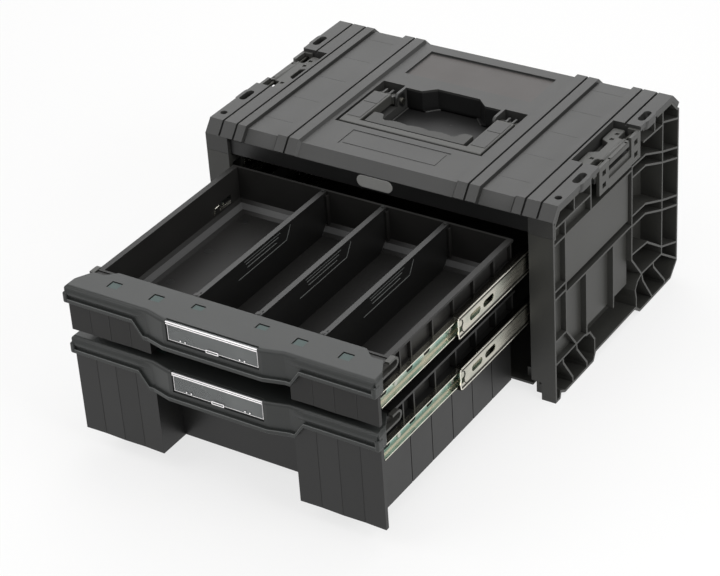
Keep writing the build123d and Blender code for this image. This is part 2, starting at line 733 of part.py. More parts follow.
with BuildPart() as right_latch_lever:
    # Two finger lobes with a gap between them, and a neck that reaches out between the ears
    with BuildSketch(Plane.XY.offset(latch_axis_z - wall)) as lever_plan:
        with BuildLine():
            Polyline(
                (lever_in, latch_centre - lever_half),
                (lever_in, latch_centre - finger_half),
                (lever_in + 10.0, latch_centre - finger_half + 5.0),
                (lever_in + 10.0, latch_centre + finger_half - 5.0),
                (lever_in, latch_centre + finger_half),
                (lever_in, latch_centre + lever_half),
                (lever_in + lobe_reach, latch_centre + lever_half),
                (lever_in + lobe_reach, latch_centre + neck_half),
                (half_width - 1.0, latch_centre + neck_half),
                (half_width - 1.0, latch_centre - neck_half),
                (lever_in + lobe_reach, latch_centre - neck_half),
                (lever_in + lobe_reach, latch_centre - lever_half),
                close=True,
            )
        make_face()
        fillet(lever_plan.vertices(), 3.0)
    extrude(amount=2 * wall)
    fillet(right_latch_lever.faces().sort_by(Axis.Z)[-1].edges(), 1.0)
    rod((latch_axis_x, latch_centre, latch_axis_z), latch_barrel_r, 2 * neck_half, "y")
    for y, x, size in lever_dimples:
        middle = latch_centre + y
        block((lever_in + x, lever_in + x + size), (middle - size / 2, middle + size / 2),
              (latch_axis_z + wall - 1.5, latch_axis_z + 2 * wall), Mode.SUBTRACT)
    rod((latch_axis_x, latch_centre, latch_axis_z), latch_pin_r + screw_fit, 2 * latch_half, "y",
        Mode.SUBTRACT)
save(right_latch_lever, "right_latch_lever")
save(mirrored(right_latch_lever), "left_latch_lever")

with BuildPart() as latch_pins:
    for side in (-1, 1):
        rod((side * latch_axis_x, latch_centre, latch_axis_z), latch_pin_r, 2 * latch_half - 3.0, "y")
save(latch_pins, "latch_pins")


# Slides
def channel(web, tip, half_height, z, side):
    """Corners of a C-shaped rail section: web limits and flange tip are distances from the drawer side."""
    web_out = web[1] if tip < web[0] else web[0]
    web_in = web[0] if tip < web[0] else web[1]
    section = [
        (web_out, -half_height),
        (web_out, half_height),
        (tip, half_height),
        (tip, half_height - rail_gauge),
        (web_in, half_height - rail_gauge),
        (web_in, rail_gauge - half_height),
        (tip, rail_gauge - half_height),
        (tip, -half_height),
    ]
    return [(side * (drawer_half + out), z + height) for out, height in section]


outer_web = (slide_space - rail_gauge, slide_space)
drawer_rail_front = rail_front - travel
middle_rail_front = rail_front - travel / 2
drawer_screw_y = [drawer_rail_front + rail_length * share for share in (0.12, 0.5, 0.88)]
inner_race = (inner_rail_half + middle_rail_half - rail_gauge) / 2
outer_race = (middle_rail_half + outer_rail_half - rail_gauge) / 2
inner_ball_out = (middle_tip + inner_rail_depth) / 2
outer_ball_out = (outer_tip + middle_web[0]) / 2
outer_cage_y = (cabinet_rail_front + middle_rail_front + rail_length) / 2
inner_cage_y = (middle_rail_front + drawer_rail_front + rail_length) / 2


def ball_cage(cage_y, race, out, ball_r, z, half_wide):
    """Two slotted strips on each side that keep the balls apart."""
    with BuildPart() as cage:
        for side in (-1, 1):
            for row in (-1, 1):
                x = side * (drawer_half + out)
                block((x - half_wide, x + half_wide), (cage_y - cage_length / 2, cage_y + cage_length / 2),
                      (z + row * race - cage_gauge / 2, z + row * race + cage_gauge / 2))
                with Locations(Location((x, cage_y, z + row * race))):
                    with GridLocations(1, cage_length / ball_count, 1, ball_count):
                        Cylinder(ball_r + ball_room, 2.0, mode=Mode.SUBTRACT)
    return cage


def balls(cage_y, race, out, ball_r, z):
    with BuildPart() as row_of_balls:
        for side in (-1, 1):
            for row in (-1, 1):
                with Locations(Location((side * (drawer_half + out), cage_y, z + row * race))):
                    with GridLocations(1, cage_length / ball_count, 1, ball_count):
                        Sphere(ball_r)
    return row_of_balls


for level, z in slide_z.items():
    for side, side_name in ((-1, "left"), (1, "right")):
        with BuildPart() as cabinet_rail:
            with BuildSketch(Plane.XZ.offset(-cabinet_rail_rear)):
                with BuildLine():
                    Polyline(*channel(outer_web, outer_tip, outer_rail_half, z, side), close=True)
                make_face()
            extrude(amount=cabinet_rail_length)
            for y in cabinet_screw_y:
                rod((side * opening_half, y, z), screw_r + screw_fit, 4 * rail_gauge, "x", Mode.SUBTRACT)
        save(cabinet_rail, f"{level}_{side_name}_cabinet_rail")

        with BuildPart() as middle_rail:
            with BuildSketch(Plane.XZ.offset(-middle_rail_front - rail_length)):
                with BuildLine():
                    Polyline(*channel(middle_web, middle_tip, middle_rail_half, z, side), close=True)
                make_face()
            extrude(amount=rail_length)
            with BuildSketch(Plane.YZ.offset(side * drawer_half)):
                for start in (22.0, 50.0):
                    with Locations((middle_rail_front + start + 11.0, z)):
                        SlotOverall(22.0, 8.0)
                with Locations((middle_rail_front, z - 2.0)):
                    Rectangle(12.0, 7.0)
            extrude(amount=side * slide_space, mode=Mode.SUBTRACT)
        save(middle_rail, f"{level}_{side_name}_middle_rail")

        with BuildPart() as drawer_rail:
            with BuildSketch(Plane.XZ.offset(-drawer_rail_front - rail_length)):
                with BuildLine():
                    Polyline(*channel((0.0, rail_gauge), inner_rail_depth, inner_rail_half, z, side),
                             close=True)
                make_face()
            extrude(amount=rail_length)
            for y in drawer_screw_y:
                rod((side * drawer_half, y, z), screw_r + screw_fit, 4 * rail_gauge, "x", Mode.SUBTRACT)
            with BuildSketch(Plane.YZ.offset(side * drawer_half)):
                for start in (12.0, 62.0, 96.0):
                    with Locations((drawer_rail_front + start, z)):
                        SlotOverall(12.0, 5.0)
            extrude(amount=side * 2 * rail_gauge, mode=Mode.SUBTRACT)
        save(drawer_rail, f"{level}_{side_name}_drawer_rail")

    save(ball_cage(outer_cage_y, outer_race, outer_ball_out, ball_r_outer, z, 2.5), f"{level}_outer_cages")
    save(balls(outer_cage_y, outer_race, outer_ball_out, ball_r_outer, z), f"{level}_outer_balls")
    save(ball_cage(inner_cage_y, inner_race, inner_ball_out, ball_r_inner, z, 2.4), f"{level}_inner_cages")
    save(balls(inner_cage_y, inner_race, inner_ball_out, ball_r_inner, z), f"{level}_inner_balls")

    with BuildPart() as rail_screws:
        for side in (-1, 1):
            for y in drawer_screw_y:
                rod((side * (drawer_half + rail_gauge + screw_head / 2), y, z), screw_head_r, screw_head, "x")
                rod((side * (drawer_half - 2.0), y, z), screw_r, 2 * (rail_gauge + 2.0), "x")
    save(rail_screws, f"{level}_drawer_rail_screws")

with BuildPart() as cabinet_rail_screws:
    for z in slide_z.values():
        for side in (-1, 1):
            for y in cabinet_screw_y:
                rod((side * (opening_half - rail_gauge - screw_head / 2), y, z), screw_head_r, screw_head,
                    "x")
                rod((side * (opening_half + (wall - rail_gauge) / 2), y, z), screw_r, wall + rail_gauge, "x")
save(cabinet_rail_screws, "cabinet_rail_screws")


# Drawers
def drawer_tub(bottom, rim, z, tub_half, with_guides, with_grooves):
    inner_half = tub_half - wall
    field_pitch = (tub_rear - tub_front) / side_fields
    field_lines = [tub_front + field_pitch * step for step in range(1, side_fields)]
    inner_front, inner_rear = tub_front + wall, tub_rear - wall
    block_top = rim + fascia_lift - wall
    with BuildPart() as tub:
        block((-tub_half, tub_half), (tub_front, tub_rear), (bottom, rim))
        block((-drawer_half, drawer_half), (tub_front, tub_rear), (rim - rim_width, rim))
        block((-inner_half, inner_half), (inner_front, inner_rear), (bottom + wall, rim + 1.0), Mode.SUBTRACT)
        floor_edges = tub.faces().filter_by(Axis.Z).filter_by(
            lambda face: abs(face.center().Z - bottom - wall) < 0.01).edges()
        chamfer(floor_edges, floor_bevel)
        for side in (-1, 1):
            # Front blocks with faceted faces, hollow from above, roofed where the drawer front steps back
            with BuildSketch(Plane.XY.offset(bottom)):
                with BuildLine():
                    facet = (front_half - block_inner) / 4
                    Polyline(
                        (side * block_inner, tub_front),
                        (side * block_inner, front_y),
                        (side * (block_inner + facet), front_y + 0.7),
                        (side * (block_inner + 2 * facet), front_y),
                        (side * (block_inner + 3 * facet), front_y + 0.7),
                        (side * front_half, front_y),
                        (side * front_half, front_y + front_plate),
                        (side * tub_half, front_y + front_plate),
                        (side * tub_half, tub_front),
                        close=True,
                    )
                make_face()
            extrude(amount=block_top - bottom)
            block(both(block_inner + wall, tub_half - wall, side), (front_y + wall, tub_front - wall),
                  (bottom + wall, block_top + 1.0), Mode.SUBTRACT)
            block(both(fascia_corner[0], tub_half, side), (tub_front - corner_step - wall, tub_front),
                  (block_top - wall, block_top))
            block(both(tub_half, drawer_half, side), (front_y + front_plate, tub_front),
                  (block_top - rim_width, block_top))
            block(both(fascia_half - wall, fascia_half, side), (front_y - 1.0, front_y + front_plate + 1.0),
                  (rim + fascia_lift - fascia_end_drop - seam, rim + fascia_lift), Mode.SUBTRACT)
            # Slide pads and the ribs above them
            block(both(tub_half, drawer_half, side), (front_y + front_plate, tub_rear),
                  (z - inner_rail_half, z + inner_rail_half))
            for y in (tub_front + field_pitch / 2, *field_lines, tub_rear - 2 * wall):
                block(both(tub_half, drawer_half, side), (y - rib / 2, y + rib / 2),
                      (z + inner_rail_half, rim))
            if with_grooves:
                for y in field_lines:
                    block(both(tub_half - 0.8, tub_half + 1.0, side), (y - 0.6, y + 0.6),
                          (bottom, z - inner_rail_half - 4.0), Mode.SUBTRACT)
            for y in drawer_screw_y:
                rod((side * drawer_half, y, z), screw_r + screw_fit, 12.0, "x", Mode.SUBTRACT)
            # Slot near the back that shows the rail
            block(both(inner_half - 1.0, drawer_half + 1.0, side), (tub_rear - 40.0, tub_rear - 20.0),
                  (z, z + 6.0), Mode.SUBTRACT)
        if with_guides:
            for x in divider_x:
                for side in (-1, 1):
                    near = bead_r + guide_fit
                    limits = sorted((x + side * near, x + side * (near + guide_wall)))
                    heights = (bottom + wall + floor_bevel, rim - 4.0)
                    block(limits, (inner_rear - guide_depth, inner_rear), heights)
                    block(limits, (inner_front, inner_front + guide_depth), heights)
    return tub


def drawer_fascia(rim):
    top = rim + fascia_lift
    low = top - fascia_mid_drop
    end_front = front_y - fascia_lip
    mid_front = end_front - fascia_bow
    rear = end_front + fascia_depth
    hinge = (mid_front + label_inset, top - label_drop)
    seat = hinge[0] + label_bar_r + 0.4
    recess_low = hinge[1] - label_height - 1.5
    recess_half_width = label_half + 1.5
    with BuildPart() as fascia:
        with BuildSketch(Plane.XY.offset(low)):
            with BuildLine():
                Polyline(
                    (-fascia_corner[0], rear),
                    (-fascia_corner[1], rear - corner_step),
                    (-fascia_corner[2], rear - corner_step),
                    (-fascia_half, rear - end_step),
                    (-fascia_half, end_front),
                    (-bow_end, end_front),
                    (-bow_half, mid_front),
                    (bow_half, mid_front),
                    (bow_end, end_front),
                    (fascia_half, end_front),
                    (fascia_half, rear - end_step),
                    (fascia_corner[2], rear - corner_step),
                    (fascia_corner[1], rear - corner_step),
                    (fascia_corner[0], rear),
                    close=True,
                )
            make_face()
        extrude(amount=fascia_mid_drop)
        front_edges = fascia.faces().sort_by(Axis.Z)[-1].edges().filter_by(
            lambda edge: edge.center().Y < rear - end_step)
        fillet(front_edges, fascia_round)
        # Hollow behind, and cut away over the front wall of the tub
        with BuildSketch(Plane.XY.offset(low)):
            with BuildLine():
                Polyline(
                    (wall - fascia_half, rear + 1.0),
                    (wall - fascia_half, end_front + wall),
                    (-bow_end, end_front + wall),
                    (-bow_half, mid_front + wall),
                    (bow_half, mid_front + wall),
                    (bow_end, end_front + wall),
                    (fascia_half - wall, end_front + wall),
                    (fascia_half - wall, rear + 1.0),
                    close=True,
                )
            make_face()
        extrude(amount=fascia_mid_drop - wall, mode=Mode.SUBTRACT)
        block((-fascia_half, fascia_half), (tub_front - seam, rear + 1.0), (low, rim), Mode.SUBTRACT)
        for side in (-1, 1):
            with BuildSketch(Plane.XZ.offset(-rear - 1.0)):
                with BuildLine():
                    Polyline(
                        (side * drop_end, low - 1.0),
                        (side * drop_end, low),
                        (side * drop_start, top - fascia_end_drop),
                        (side * (fascia_half + 1.0), top - fascia_end_drop),
                        (side * (fascia_half + 1.0), low - 1.0),
                        close=True,
                    )
                make_face()
            extrude(amount=fascia_depth + fascia_bow + 5.0, mode=Mode.SUBTRACT)
            for x, from_rear, length in pocket_rows:
                middle = rear - from_rear
                block((side * x - pocket_size[0] / 2, side * x + pocket_size[0] / 2),
                      (middle - length / 2, middle + length / 2), (top - pocket_size[1], top + 1.0),
                      Mode.SUBTRACT)
        # Recess of the label window, open at the top edge, with the hinge holes in its ends
        block((-recess_half_width - label_lug, recess_half_width + label_lug), (mid_front + 1.0, seat + rib),
              (recess_low - rib, top - fascia_round / 2))
        block((-recess_half_width, recess_half_width), (mid_front - 1.0, seat), (recess_low, top + 1.0),
              Mode.SUBTRACT)
        rod((0, hinge[0], hinge[1]), label_pin_r + screw_fit, 2 * (recess_half_width + label_lug + 1.0), "x",
            Mode.SUBTRACT)
    with BuildPart() as window:
        rod((0, hinge[0], hinge[1]), label_bar_r, 2 * (label_half + 1.0), "x")
        rod((0, hinge[0], hinge[1]), label_pin_r, 2 * (recess_half_width + label_lug - 0.5), "x")
        block((-label_half, label_half), (hinge[0] - label_sheet / 2, hinge[0] + label_sheet / 2),
              (hinge[1] - label_height, hinge[1]))
        block((-7.0, 7.0), (hinge[0] - label_inset, hinge[0]),
              (hinge[1] - label_height, hinge[1] - label_height + 2.6))
        for x in (-40.0, -34.0, 34.0, 40.0):
            rod((x, hinge[0] - 1.0, hinge[1] - label_height + 3.0), 1.2, 1.2, "y")
    return fascia, window


def drawer_catches(rim):
    """Curled hooks at both ends of the front, outside the tub."""
    width = front_half - drawer_half
    hook = (tub_front - 2.0, rim - 3.0)
    with BuildPart() as catches:
        for side in (-1, 1):
            with BuildSketch(Plane.YZ.offset(side * drawer_half)):
                with Locations(hook):
                    Circle(hook_r)
                    Circle(hook_r - hook_sheet, mode=Mode.SUBTRACT)
                with Locations((hook[0] - hook_r / 2, hook[1] - hook_r / 2)):
                    Rectangle(hook_r, hook_r, mode=Mode.SUBTRACT)
                with Locations((hook[0] + hook_r / 2, hook[1] - hook_r)):
                    Rectangle(2 * hook_r, hook_sheet)
            extrude(amount=side * width)
    return catches


levels = {"upper": (upper_bottom, upper_rim), "lower": (lower_bottom, lower_rim)}
for level, (bottom, rim) in levels.items():
    tub_half = drawer_half - tub_inset[level]
    tub = drawer_tub(bottom, rim, slide_z[level], tub_half, level == "upper", level == "lower")
    save(tub, f"{level}_drawer_tub")
    fascia, window = drawer_fascia(rim)
    save(fascia, f"{level}_drawer_front")
    save(window, f"{level}_label_window")
    save(drawer_catches(rim), f"{level}_drawer_catches")

# Dividers lift out of the upper drawer
divider_low = upper_bottom + wall + guide_fit
divider_front = tub_front + wall + guide_fit
divider_rear = tub_rear - wall - guide_fit
for number, x in enumerate(divider_x, start=1):
    with BuildPart() as divider:
        with BuildSketch(Plane.YZ.offset(x - divider_plate / 2)):
            with BuildLine():
                Polyline(
                    (divider_front + bead_r, upper_rim),
                    (divider_front + bead_r, divider_low + floor_bevel),
                    (divider_front + bead_r + floor_bevel, divider_low),
                    (divider_rear - bead_r - floor_bevel, divider_low),
                    (divider_rear - bead_r, divider_low + floor_bevel),
                    (divider_rear - bead_r, upper_rim),
                    close=True,
                )
            make_face()
        extrude(amount=divider_plate)
        block((x - divider_top / 2, x + divider_top / 2), (divider_front + 1.0, divider_rear - 1.0),
              (upper_rim - 2.5, upper_rim + 0.5))
        for y in (divider_front + bead_r, divider_rear - bead_r):
            low = divider_low + floor_bevel + 1.0
            rod((x, y, (low + upper_rim) / 2), bead_r, upper_rim - low, "z")
            rod((x, y, upper_rim + 1.0), 1.8, 2.0, "z")
    save(divider, f"divider_{number}")
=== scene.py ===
import json
from math import cos, pi, radians, sin

import bmesh
import bpy
from mathutils import Matrix, Vector


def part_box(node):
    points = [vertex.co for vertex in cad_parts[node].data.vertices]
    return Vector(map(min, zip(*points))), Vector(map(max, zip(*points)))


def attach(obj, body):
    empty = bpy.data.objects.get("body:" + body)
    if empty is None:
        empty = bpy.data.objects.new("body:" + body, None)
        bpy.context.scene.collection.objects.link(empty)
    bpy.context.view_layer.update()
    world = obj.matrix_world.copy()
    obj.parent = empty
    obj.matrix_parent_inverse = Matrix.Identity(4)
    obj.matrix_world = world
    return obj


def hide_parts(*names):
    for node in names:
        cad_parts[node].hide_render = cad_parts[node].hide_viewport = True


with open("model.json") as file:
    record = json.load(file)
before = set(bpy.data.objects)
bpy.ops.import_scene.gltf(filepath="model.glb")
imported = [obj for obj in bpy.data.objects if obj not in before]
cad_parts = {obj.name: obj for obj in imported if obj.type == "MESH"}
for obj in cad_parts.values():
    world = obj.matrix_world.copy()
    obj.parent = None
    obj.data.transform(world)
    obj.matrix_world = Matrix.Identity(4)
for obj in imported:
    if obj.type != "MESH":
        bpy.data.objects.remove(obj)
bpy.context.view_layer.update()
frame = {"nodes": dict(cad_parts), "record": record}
print("frame loaded:", len(frame["nodes"]), "nodes")

mm = 0.001
levels = ("upper", "lower")
sides = {"left": -1, "right": 1}


def toLinear(hexText):
    channels = [int(hexText[i:i + 2], 16) / 255 for i in (1, 3, 5)]
    return tuple(c / 12.92 if c <= 0.04045 else ((c + 0.055) / 1.055) ** 2.4 for c in channels) + (1.0,)


def addNode(tree, kind, settings=None, links=None):
    node = tree.nodes.new(kind)
    for name, value in (settings or {}).items():
        if isinstance(name, int) or name in node.inputs:
            node.inputs[name].default_value = value
        else:
            setattr(node, name, value)
    for name, source in (links or {}).items():
        tree.links.new(source, node.inputs[name])
    return node


def newMaterial(name):
    material = bpy.data.materials.new(name)
    material.use_nodes = True
    material.node_tree.nodes.clear()
    return material, material.node_tree


# injection-moulded polypropylene: dull, slightly uneven grey with a fine spark-eroded skin
skin = {"flowMm": 70.0, "flowShare": 0.8, "speckMm": 3.5, "speckShare": 0.35, "smoother": 0.06,
        "rougher": 0.08, "grainHighMm": 0.2, "ior": 1.49}


def mouldedPlastic(name, darkHex, lightHex, roughness=0.5, grainMm=1.2, grainDepth=0.12, gloss=0.45):
    material, tree = newMaterial(name)
    place = addNode(tree, "ShaderNodeTexCoord").outputs["Object"]
    flow = addNode(tree, "ShaderNodeTexNoise",
                   {"Scale": 1 / (skin["flowMm"] * mm), "Detail": 4.0, "Roughness": 0.6},
                   {"Vector": place})
    speck = addNode(tree, "ShaderNodeTexNoise", {"Scale": 1 / (skin["speckMm"] * mm), "Detail": 2.0},
                    {"Vector": place})
    faint = addNode(tree, "ShaderNodeMath", {"operation": "MULTIPLY", 1: skin["speckShare"]},
                    {0: speck.outputs["Fac"]})
    blend = addNode(tree, "ShaderNodeMath", {"operation": "MULTIPLY_ADD", 1: skin["flowShare"]},
                    {0: flow.outputs["Fac"], 2: faint.outputs[0]})
    colour = addNode(tree, "ShaderNodeMix",
                     {"data_type": "RGBA", 6: toLinear(darkHex), 7: toLinear(lightHex)},
                     {0: blend.outputs[0]})
    shine = addNode(tree, "ShaderNodeMapRange",
                    {"To Min": roughness - skin["smoother"], "To Max": roughness + skin["rougher"]},
                    {"Value": flow.outputs["Fac"]})
    # real grain is 0.1 mm, drawn coarser so it shows
    grain = addNode(tree, "ShaderNodeTexNoise", {"Scale": 1 / (grainMm * mm), "Detail": 2.0},
                    {"Vector": place})
    bump = addNode(tree, "ShaderNodeBump", {"Strength": grainDepth, "Distance": skin["grainHighMm"] * mm},
                   {"Height": grain.outputs["Fac"]})
    shader = addNode(tree, "ShaderNodeBsdfPrincipled", {"IOR": skin["ior"], "Specular IOR Level": gloss},
                     {"Base Color": colour.outputs[2], "Roughness": shine.outputs[0],
                      "Normal": bump.outputs[0]})
    addNode(tree, "ShaderNodeOutputMaterial", links={"Surface": shader.outputs[0]})
    return material


# cold-rolled steel: rolling streaks along Y break up its shine
rolling = {"stretch": (1.0, 0.03, 1.0), "smoother": 0.08, "rougher": 0.1, "bump": 0.04, "highMm": 0.1}


def rolledSteel(tree, place, colour, roughness, streakMm):
    stretch = addNode(tree, "ShaderNodeMapping", {"Scale": rolling["stretch"]}, {"Vector": place})
    streak = addNode(tree, "ShaderNodeTexNoise", {"Scale": 1 / (streakMm * mm), "Detail": 3.0},
                     {"Vector": stretch.outputs[0]})
    shine = addNode(tree, "ShaderNodeMapRange",
                    {"To Min": roughness - rolling["smoother"], "To Max": roughness + rolling["rougher"]},
                    {"Value": streak.outputs["Fac"]})
    bump = addNode(tree, "ShaderNodeBump",
                   {"Strength": rolling["bump"], "Distance": rolling["highMm"] * mm},
                   {"Height": streak.outputs["Fac"]})
    shader = addNode(tree, "ShaderNodeBsdfPrincipled", {"Metallic": 1.0},
                     {"Base Color": colour, "Roughness": shine.outputs[0], "Normal": bump.outputs[0]})
    addNode(tree, "ShaderNodeOutputMaterial", links={"Surface": shader.outputs[0]})


# zinc plating: bright, with clouds of a thin greenish passivation
plating = {"cloudMm": 26.0, "thin": 0.3, "full": 0.9}


def zincSteel(name, brightHex, tintHex, roughness=0.26, streakMm=1.6):
    material, tree = newMaterial(name)
    place = addNode(tree, "ShaderNodeTexCoord").outputs["Object"]
    cloud = addNode(tree, "ShaderNodeTexNoise", {"Scale": 1 / (plating["cloudMm"] * mm), "Detail": 2.0},
                    {"Vector": place})
    tint = addNode(tree, "ShaderNodeMapRange", {"From Min": plating["thin"], "From Max": plating["full"]},
                   {"Value": cloud.outputs["Fac"]})
    colour = addNode(tree, "ShaderNodeMix",
                     {"data_type": "RGBA", 6: toLinear(brightHex), 7: toLinear(tintHex)},
                     {0: tint.outputs[0]})
    rolledSteel(tree, place, colour.outputs[2], roughness, streakMm)
    return material


# slide rails: web and flanges have their own tone, told apart by height about each slide's middle; on the
# middle rail the dark outer bands are painted shade
railBands = {"middleMm": 109.0, "pitchMm": 64.0, "fadeMm": 1.2, "cloudMm": 30.0, "bare": 0.5, "worn": 0.8}


def bandedRail(name, webHex, cloudHex, flangeToneAndShadeHex, webHalfMm, roughness, streakMm=1.6):
    material, tree = newMaterial(name)
    place = addNode(tree, "ShaderNodeTexCoord").outputs["Object"]
    height = addNode(tree, "ShaderNodeSeparateXYZ", links={0: place}).outputs["Z"]
    above = addNode(tree, "ShaderNodeMath", {"operation": "SUBTRACT", 1: railBands["middleMm"] * mm},
                    {0: height})
    halfPitch = railBands["pitchMm"] * mm / 2
    within = addNode(tree, "ShaderNodeMath", {"operation": "WRAP", 1: halfPitch, 2: -halfPitch},
                     {0: above.outputs[0]})
    far = addNode(tree, "ShaderNodeMath", {"operation": "ABSOLUTE"}, {0: within.outputs[0]})
    fade = {"From Min": webHalfMm * mm, "From Max": (webHalfMm + railBands["fadeMm"]) * mm}
    flange = addNode(tree, "ShaderNodeMapRange", fade, {"Value": far.outputs[0]})
    cloud = addNode(tree, "ShaderNodeTexNoise", {"Scale": 1 / (railBands["cloudMm"] * mm), "Detail": 2.0},
                    {"Vector": place})
    worn = addNode(tree, "ShaderNodeMapRange",
                   {"From Min": railBands["bare"], "From Max": railBands["worn"]},
                   {"Value": cloud.outputs["Fac"]})
    web = addNode(tree, "ShaderNodeMix",
                  {"data_type": "RGBA", 6: toLinear(webHex), 7: toLinear(cloudHex)}, {0: worn.outputs[0]})
    colour = addNode(tree, "ShaderNodeMix", {"data_type": "RGBA", 7: toLinear(flangeToneAndShadeHex)},
                     {0: flange.outputs[0], 6: web.outputs[2]})
    rolledSteel(tree, place, colour.outputs[2], roughness, streakMm)
    return material


# moulded polycarbonate: a clear thin sheet, hazy where scuffed; a painted glow (emission) on its polished
# edges makes them look white
pane = {"scuffMm": 48.0, "cleaner": 0.3, "scuffed": 0.7, "ior": 1.58, "clearHex": "#f2f4f4"}


def clearPlastic(name, tintHex, hazeLow, hazeHigh, roughness, paintedGlow=0.0):
    material, tree = newMaterial(name)
    place = addNode(tree, "ShaderNodeTexCoord").outputs["Object"]
    scuff = addNode(tree, "ShaderNodeTexNoise", {"Scale": 1 / (pane["scuffMm"] * mm), "Detail": 1.5},
                    {"Vector": place})
    haze = addNode(tree, "ShaderNodeMapRange",
                   {"From Min": pane["cleaner"], "From Max": pane["scuffed"], "To Min": hazeLow,
                    "To Max": hazeHigh},
                   {"Value": scuff.outputs["Fac"]})
    film = addNode(tree, "ShaderNodeBsdfPrincipled",
                   {"Base Color": toLinear(tintHex), "IOR": pane["ior"], "Roughness": roughness,
                    "Emission Color": toLinear(tintHex), "Emission Strength": paintedGlow})
    clear = addNode(tree, "ShaderNodeBsdfTransparent", {"Color": toLinear(pane["clearHex"])})
    sheet = addNode(tree, "ShaderNodeMixShader",
                    links={0: haze.outputs[0], 1: clear.outputs[0], 2: film.outputs[0]})
    addNode(tree, "ShaderNodeOutputMaterial", links={"Surface": sheet.outputs[0]})
    return material


# tone set by place, matched to the picture: a colour laid inside boxes, used for painted highlight, painted
# shade and a real tint; tone set by place, matched to the picture, which can't tell another mould polish
# from shade
def toneAndPaintedLightInside(material, rooms, toneAndLightHex):
    tree = material.node_tree
    shader = next(node for node in tree.nodes if node.type == "BSDF_PRINCIPLED")
    place = addNode(tree, "ShaderNodeTexCoord").outputs["Object"]
    axes = addNode(tree, "ShaderNodeSeparateXYZ", links={0: place})
    across = addNode(tree, "ShaderNodeMath", {"operation": "ABSOLUTE"}, {0: axes.outputs["X"]})
    places = (across.outputs[0], axes.outputs["Y"], axes.outputs["Z"])
    for low, high in rooms:
        colour = shader.inputs["Base Color"].links[0].from_socket
        inside = None
        for source, start, stop in zip(places, low, high):
            middle, reach = (start + stop) / 2 * mm, (stop - start) / 2 * mm
            within = addNode(tree, "ShaderNodeMath", {"operation": "COMPARE", 1: middle, 2: reach},
                             {0: source})
            if inside:
                within = addNode(tree, "ShaderNodeMath", {"operation": "MULTIPLY"},
                                 {0: inside.outputs[0], 1: within.outputs[0]})
            inside = within
        toned = addNode(tree, "ShaderNodeMix", {"data_type": "RGBA", 7: toLinear(toneAndLightHex)},
                        {0: inside.outputs[0], 6: colour})
        tree.links.new(toned.outputs[2], shader.inputs["Base Color"])
    return material


finishes = {
    "lid_plastic": mouldedPlastic("polypropyleneLidMoulded", "#2a2a29", "#353534", 0.44),
    "side_plastic": mouldedPlastic("polypropyleneSideMoulded", "#2d2d2b", "#383835", 0.46),
    "header_plastic": mouldedPlastic("polypropyleneBlackSmooth", "#0e0e0e", "#171717", 0.42, 0.8, 0.06),
    "tub_plastic": mouldedPlastic("polypropyleneTubMoulded", "#0f0f0f", "#171716", 0.4, 1.0, 0.08),
    "fascia_plastic": mouldedPlastic("absFasciaSatin", "#242625", "#2f3130", 0.42, 0.9, 0.08),
    "latch_plastic": mouldedPlastic("polyamideLatchSatin", "#343432", "#40403d", 0.44),
    "grip_plastic": mouldedPlastic("elastomerGripMoulded", "#30302f", "#3b3b39", 0.55, 1.4, 0.16),
    "badge_plastic": mouldedPlastic("absBadgeBlank", "#8d8d8b", "#a3a3a0", 0.35, 0.7, 0.05),
    "slide_steel": zincSteel("steelSlideZincRolled", "#bbb8ab", "#a0a69a", 0.25),
    "ball_steel": zincSteel("steelBallPolished", "#dcdcda", "#cfd0ce", 0.14, 0.8),
    "cage_steel": zincSteel("steelCageStamped", "#6c6b66", "#5d615c", 0.36),
    "screw_steel": zincSteel("steelScrewZinc", "#c4c3bb", "#aab3aa", 0.32),
    "label_clear": clearPlastic("polycarbonateWindowClear", "#717474", 0.62, 0.8, 0.2),
}
# the drawer rail is passivated green with cream flanges; the middle rail gets painted shade as dark bands
# along its grooves
drawerRail = bandedRail("steelDrawerRailPassivated", "#8db0a6", "#ebe8d9", "#ebe8d9", 5.2, 0.22)
middleRailPaintedShade = bandedRail("steelMiddleRailRolledPaintedShade", "#c8c5b8", "#a0a69a", "#4a4843", 8.2, 0.25)
# near-white steel for rolled edges, pins and the rail tab: a painted highlight
paintedHighlightSteel = zincSteel("steelRolledEdgePaintedHighlight", "#efece1", "#dedbcd", 0.2)
# dark oiled steel for the stops and latch pins; laid in the middle rail's gutters it is painted shade
darkSteelAndGutterShade = zincSteel("steelStopOiledAndGutterShade", "#3b3a36", "#2f302d", 0.38)
padRubber = mouldedPlastic("elastomerPadMoulded", "#2c3c3a", "#384b48", 0.5, 1.0, 0.1)
# the label window edges glow: a painted glow that makes them look white
paintedGlowEdge = clearPlastic("polycarbonateEdgePolishedPaintedGlow", "#f4f1f2", 0.8, 1.0, 0.15, 0.36)
# lighter plastic for the lip edges and divider marks: a painted highlight
paintedHighlightEdge = mouldedPlastic("absEdgePaintedHighlight", "#5d5f5e", "#707271", 0.36, 0.9, 0.05)
# the upper tub's plastic; it carries a painted highlight on its floor slopes
upperTubPaintedSlopeHighlight = mouldedPlastic("polypropyleneTubShallowPaintedSlopeHighlight", "#171716", "#201f1e", 0.44, 1.0, 0.08, 0.3)
# painted highlight: a lighter strip along the slopes at the rear and the sides of the upper tub floor, in
# millimetres
paintedSlopeHighlightBoxes = (((0.0, -176.0, 157.4), (172.0, -165.5, 162.4)),
             ((165.5, -405.0, 157.4), (172.5, -166.0, 162.4)))
toneAndPaintedLightInside(upperTubPaintedSlopeHighlight, paintedSlopeHighlightBoxes, "#4c4c4c")
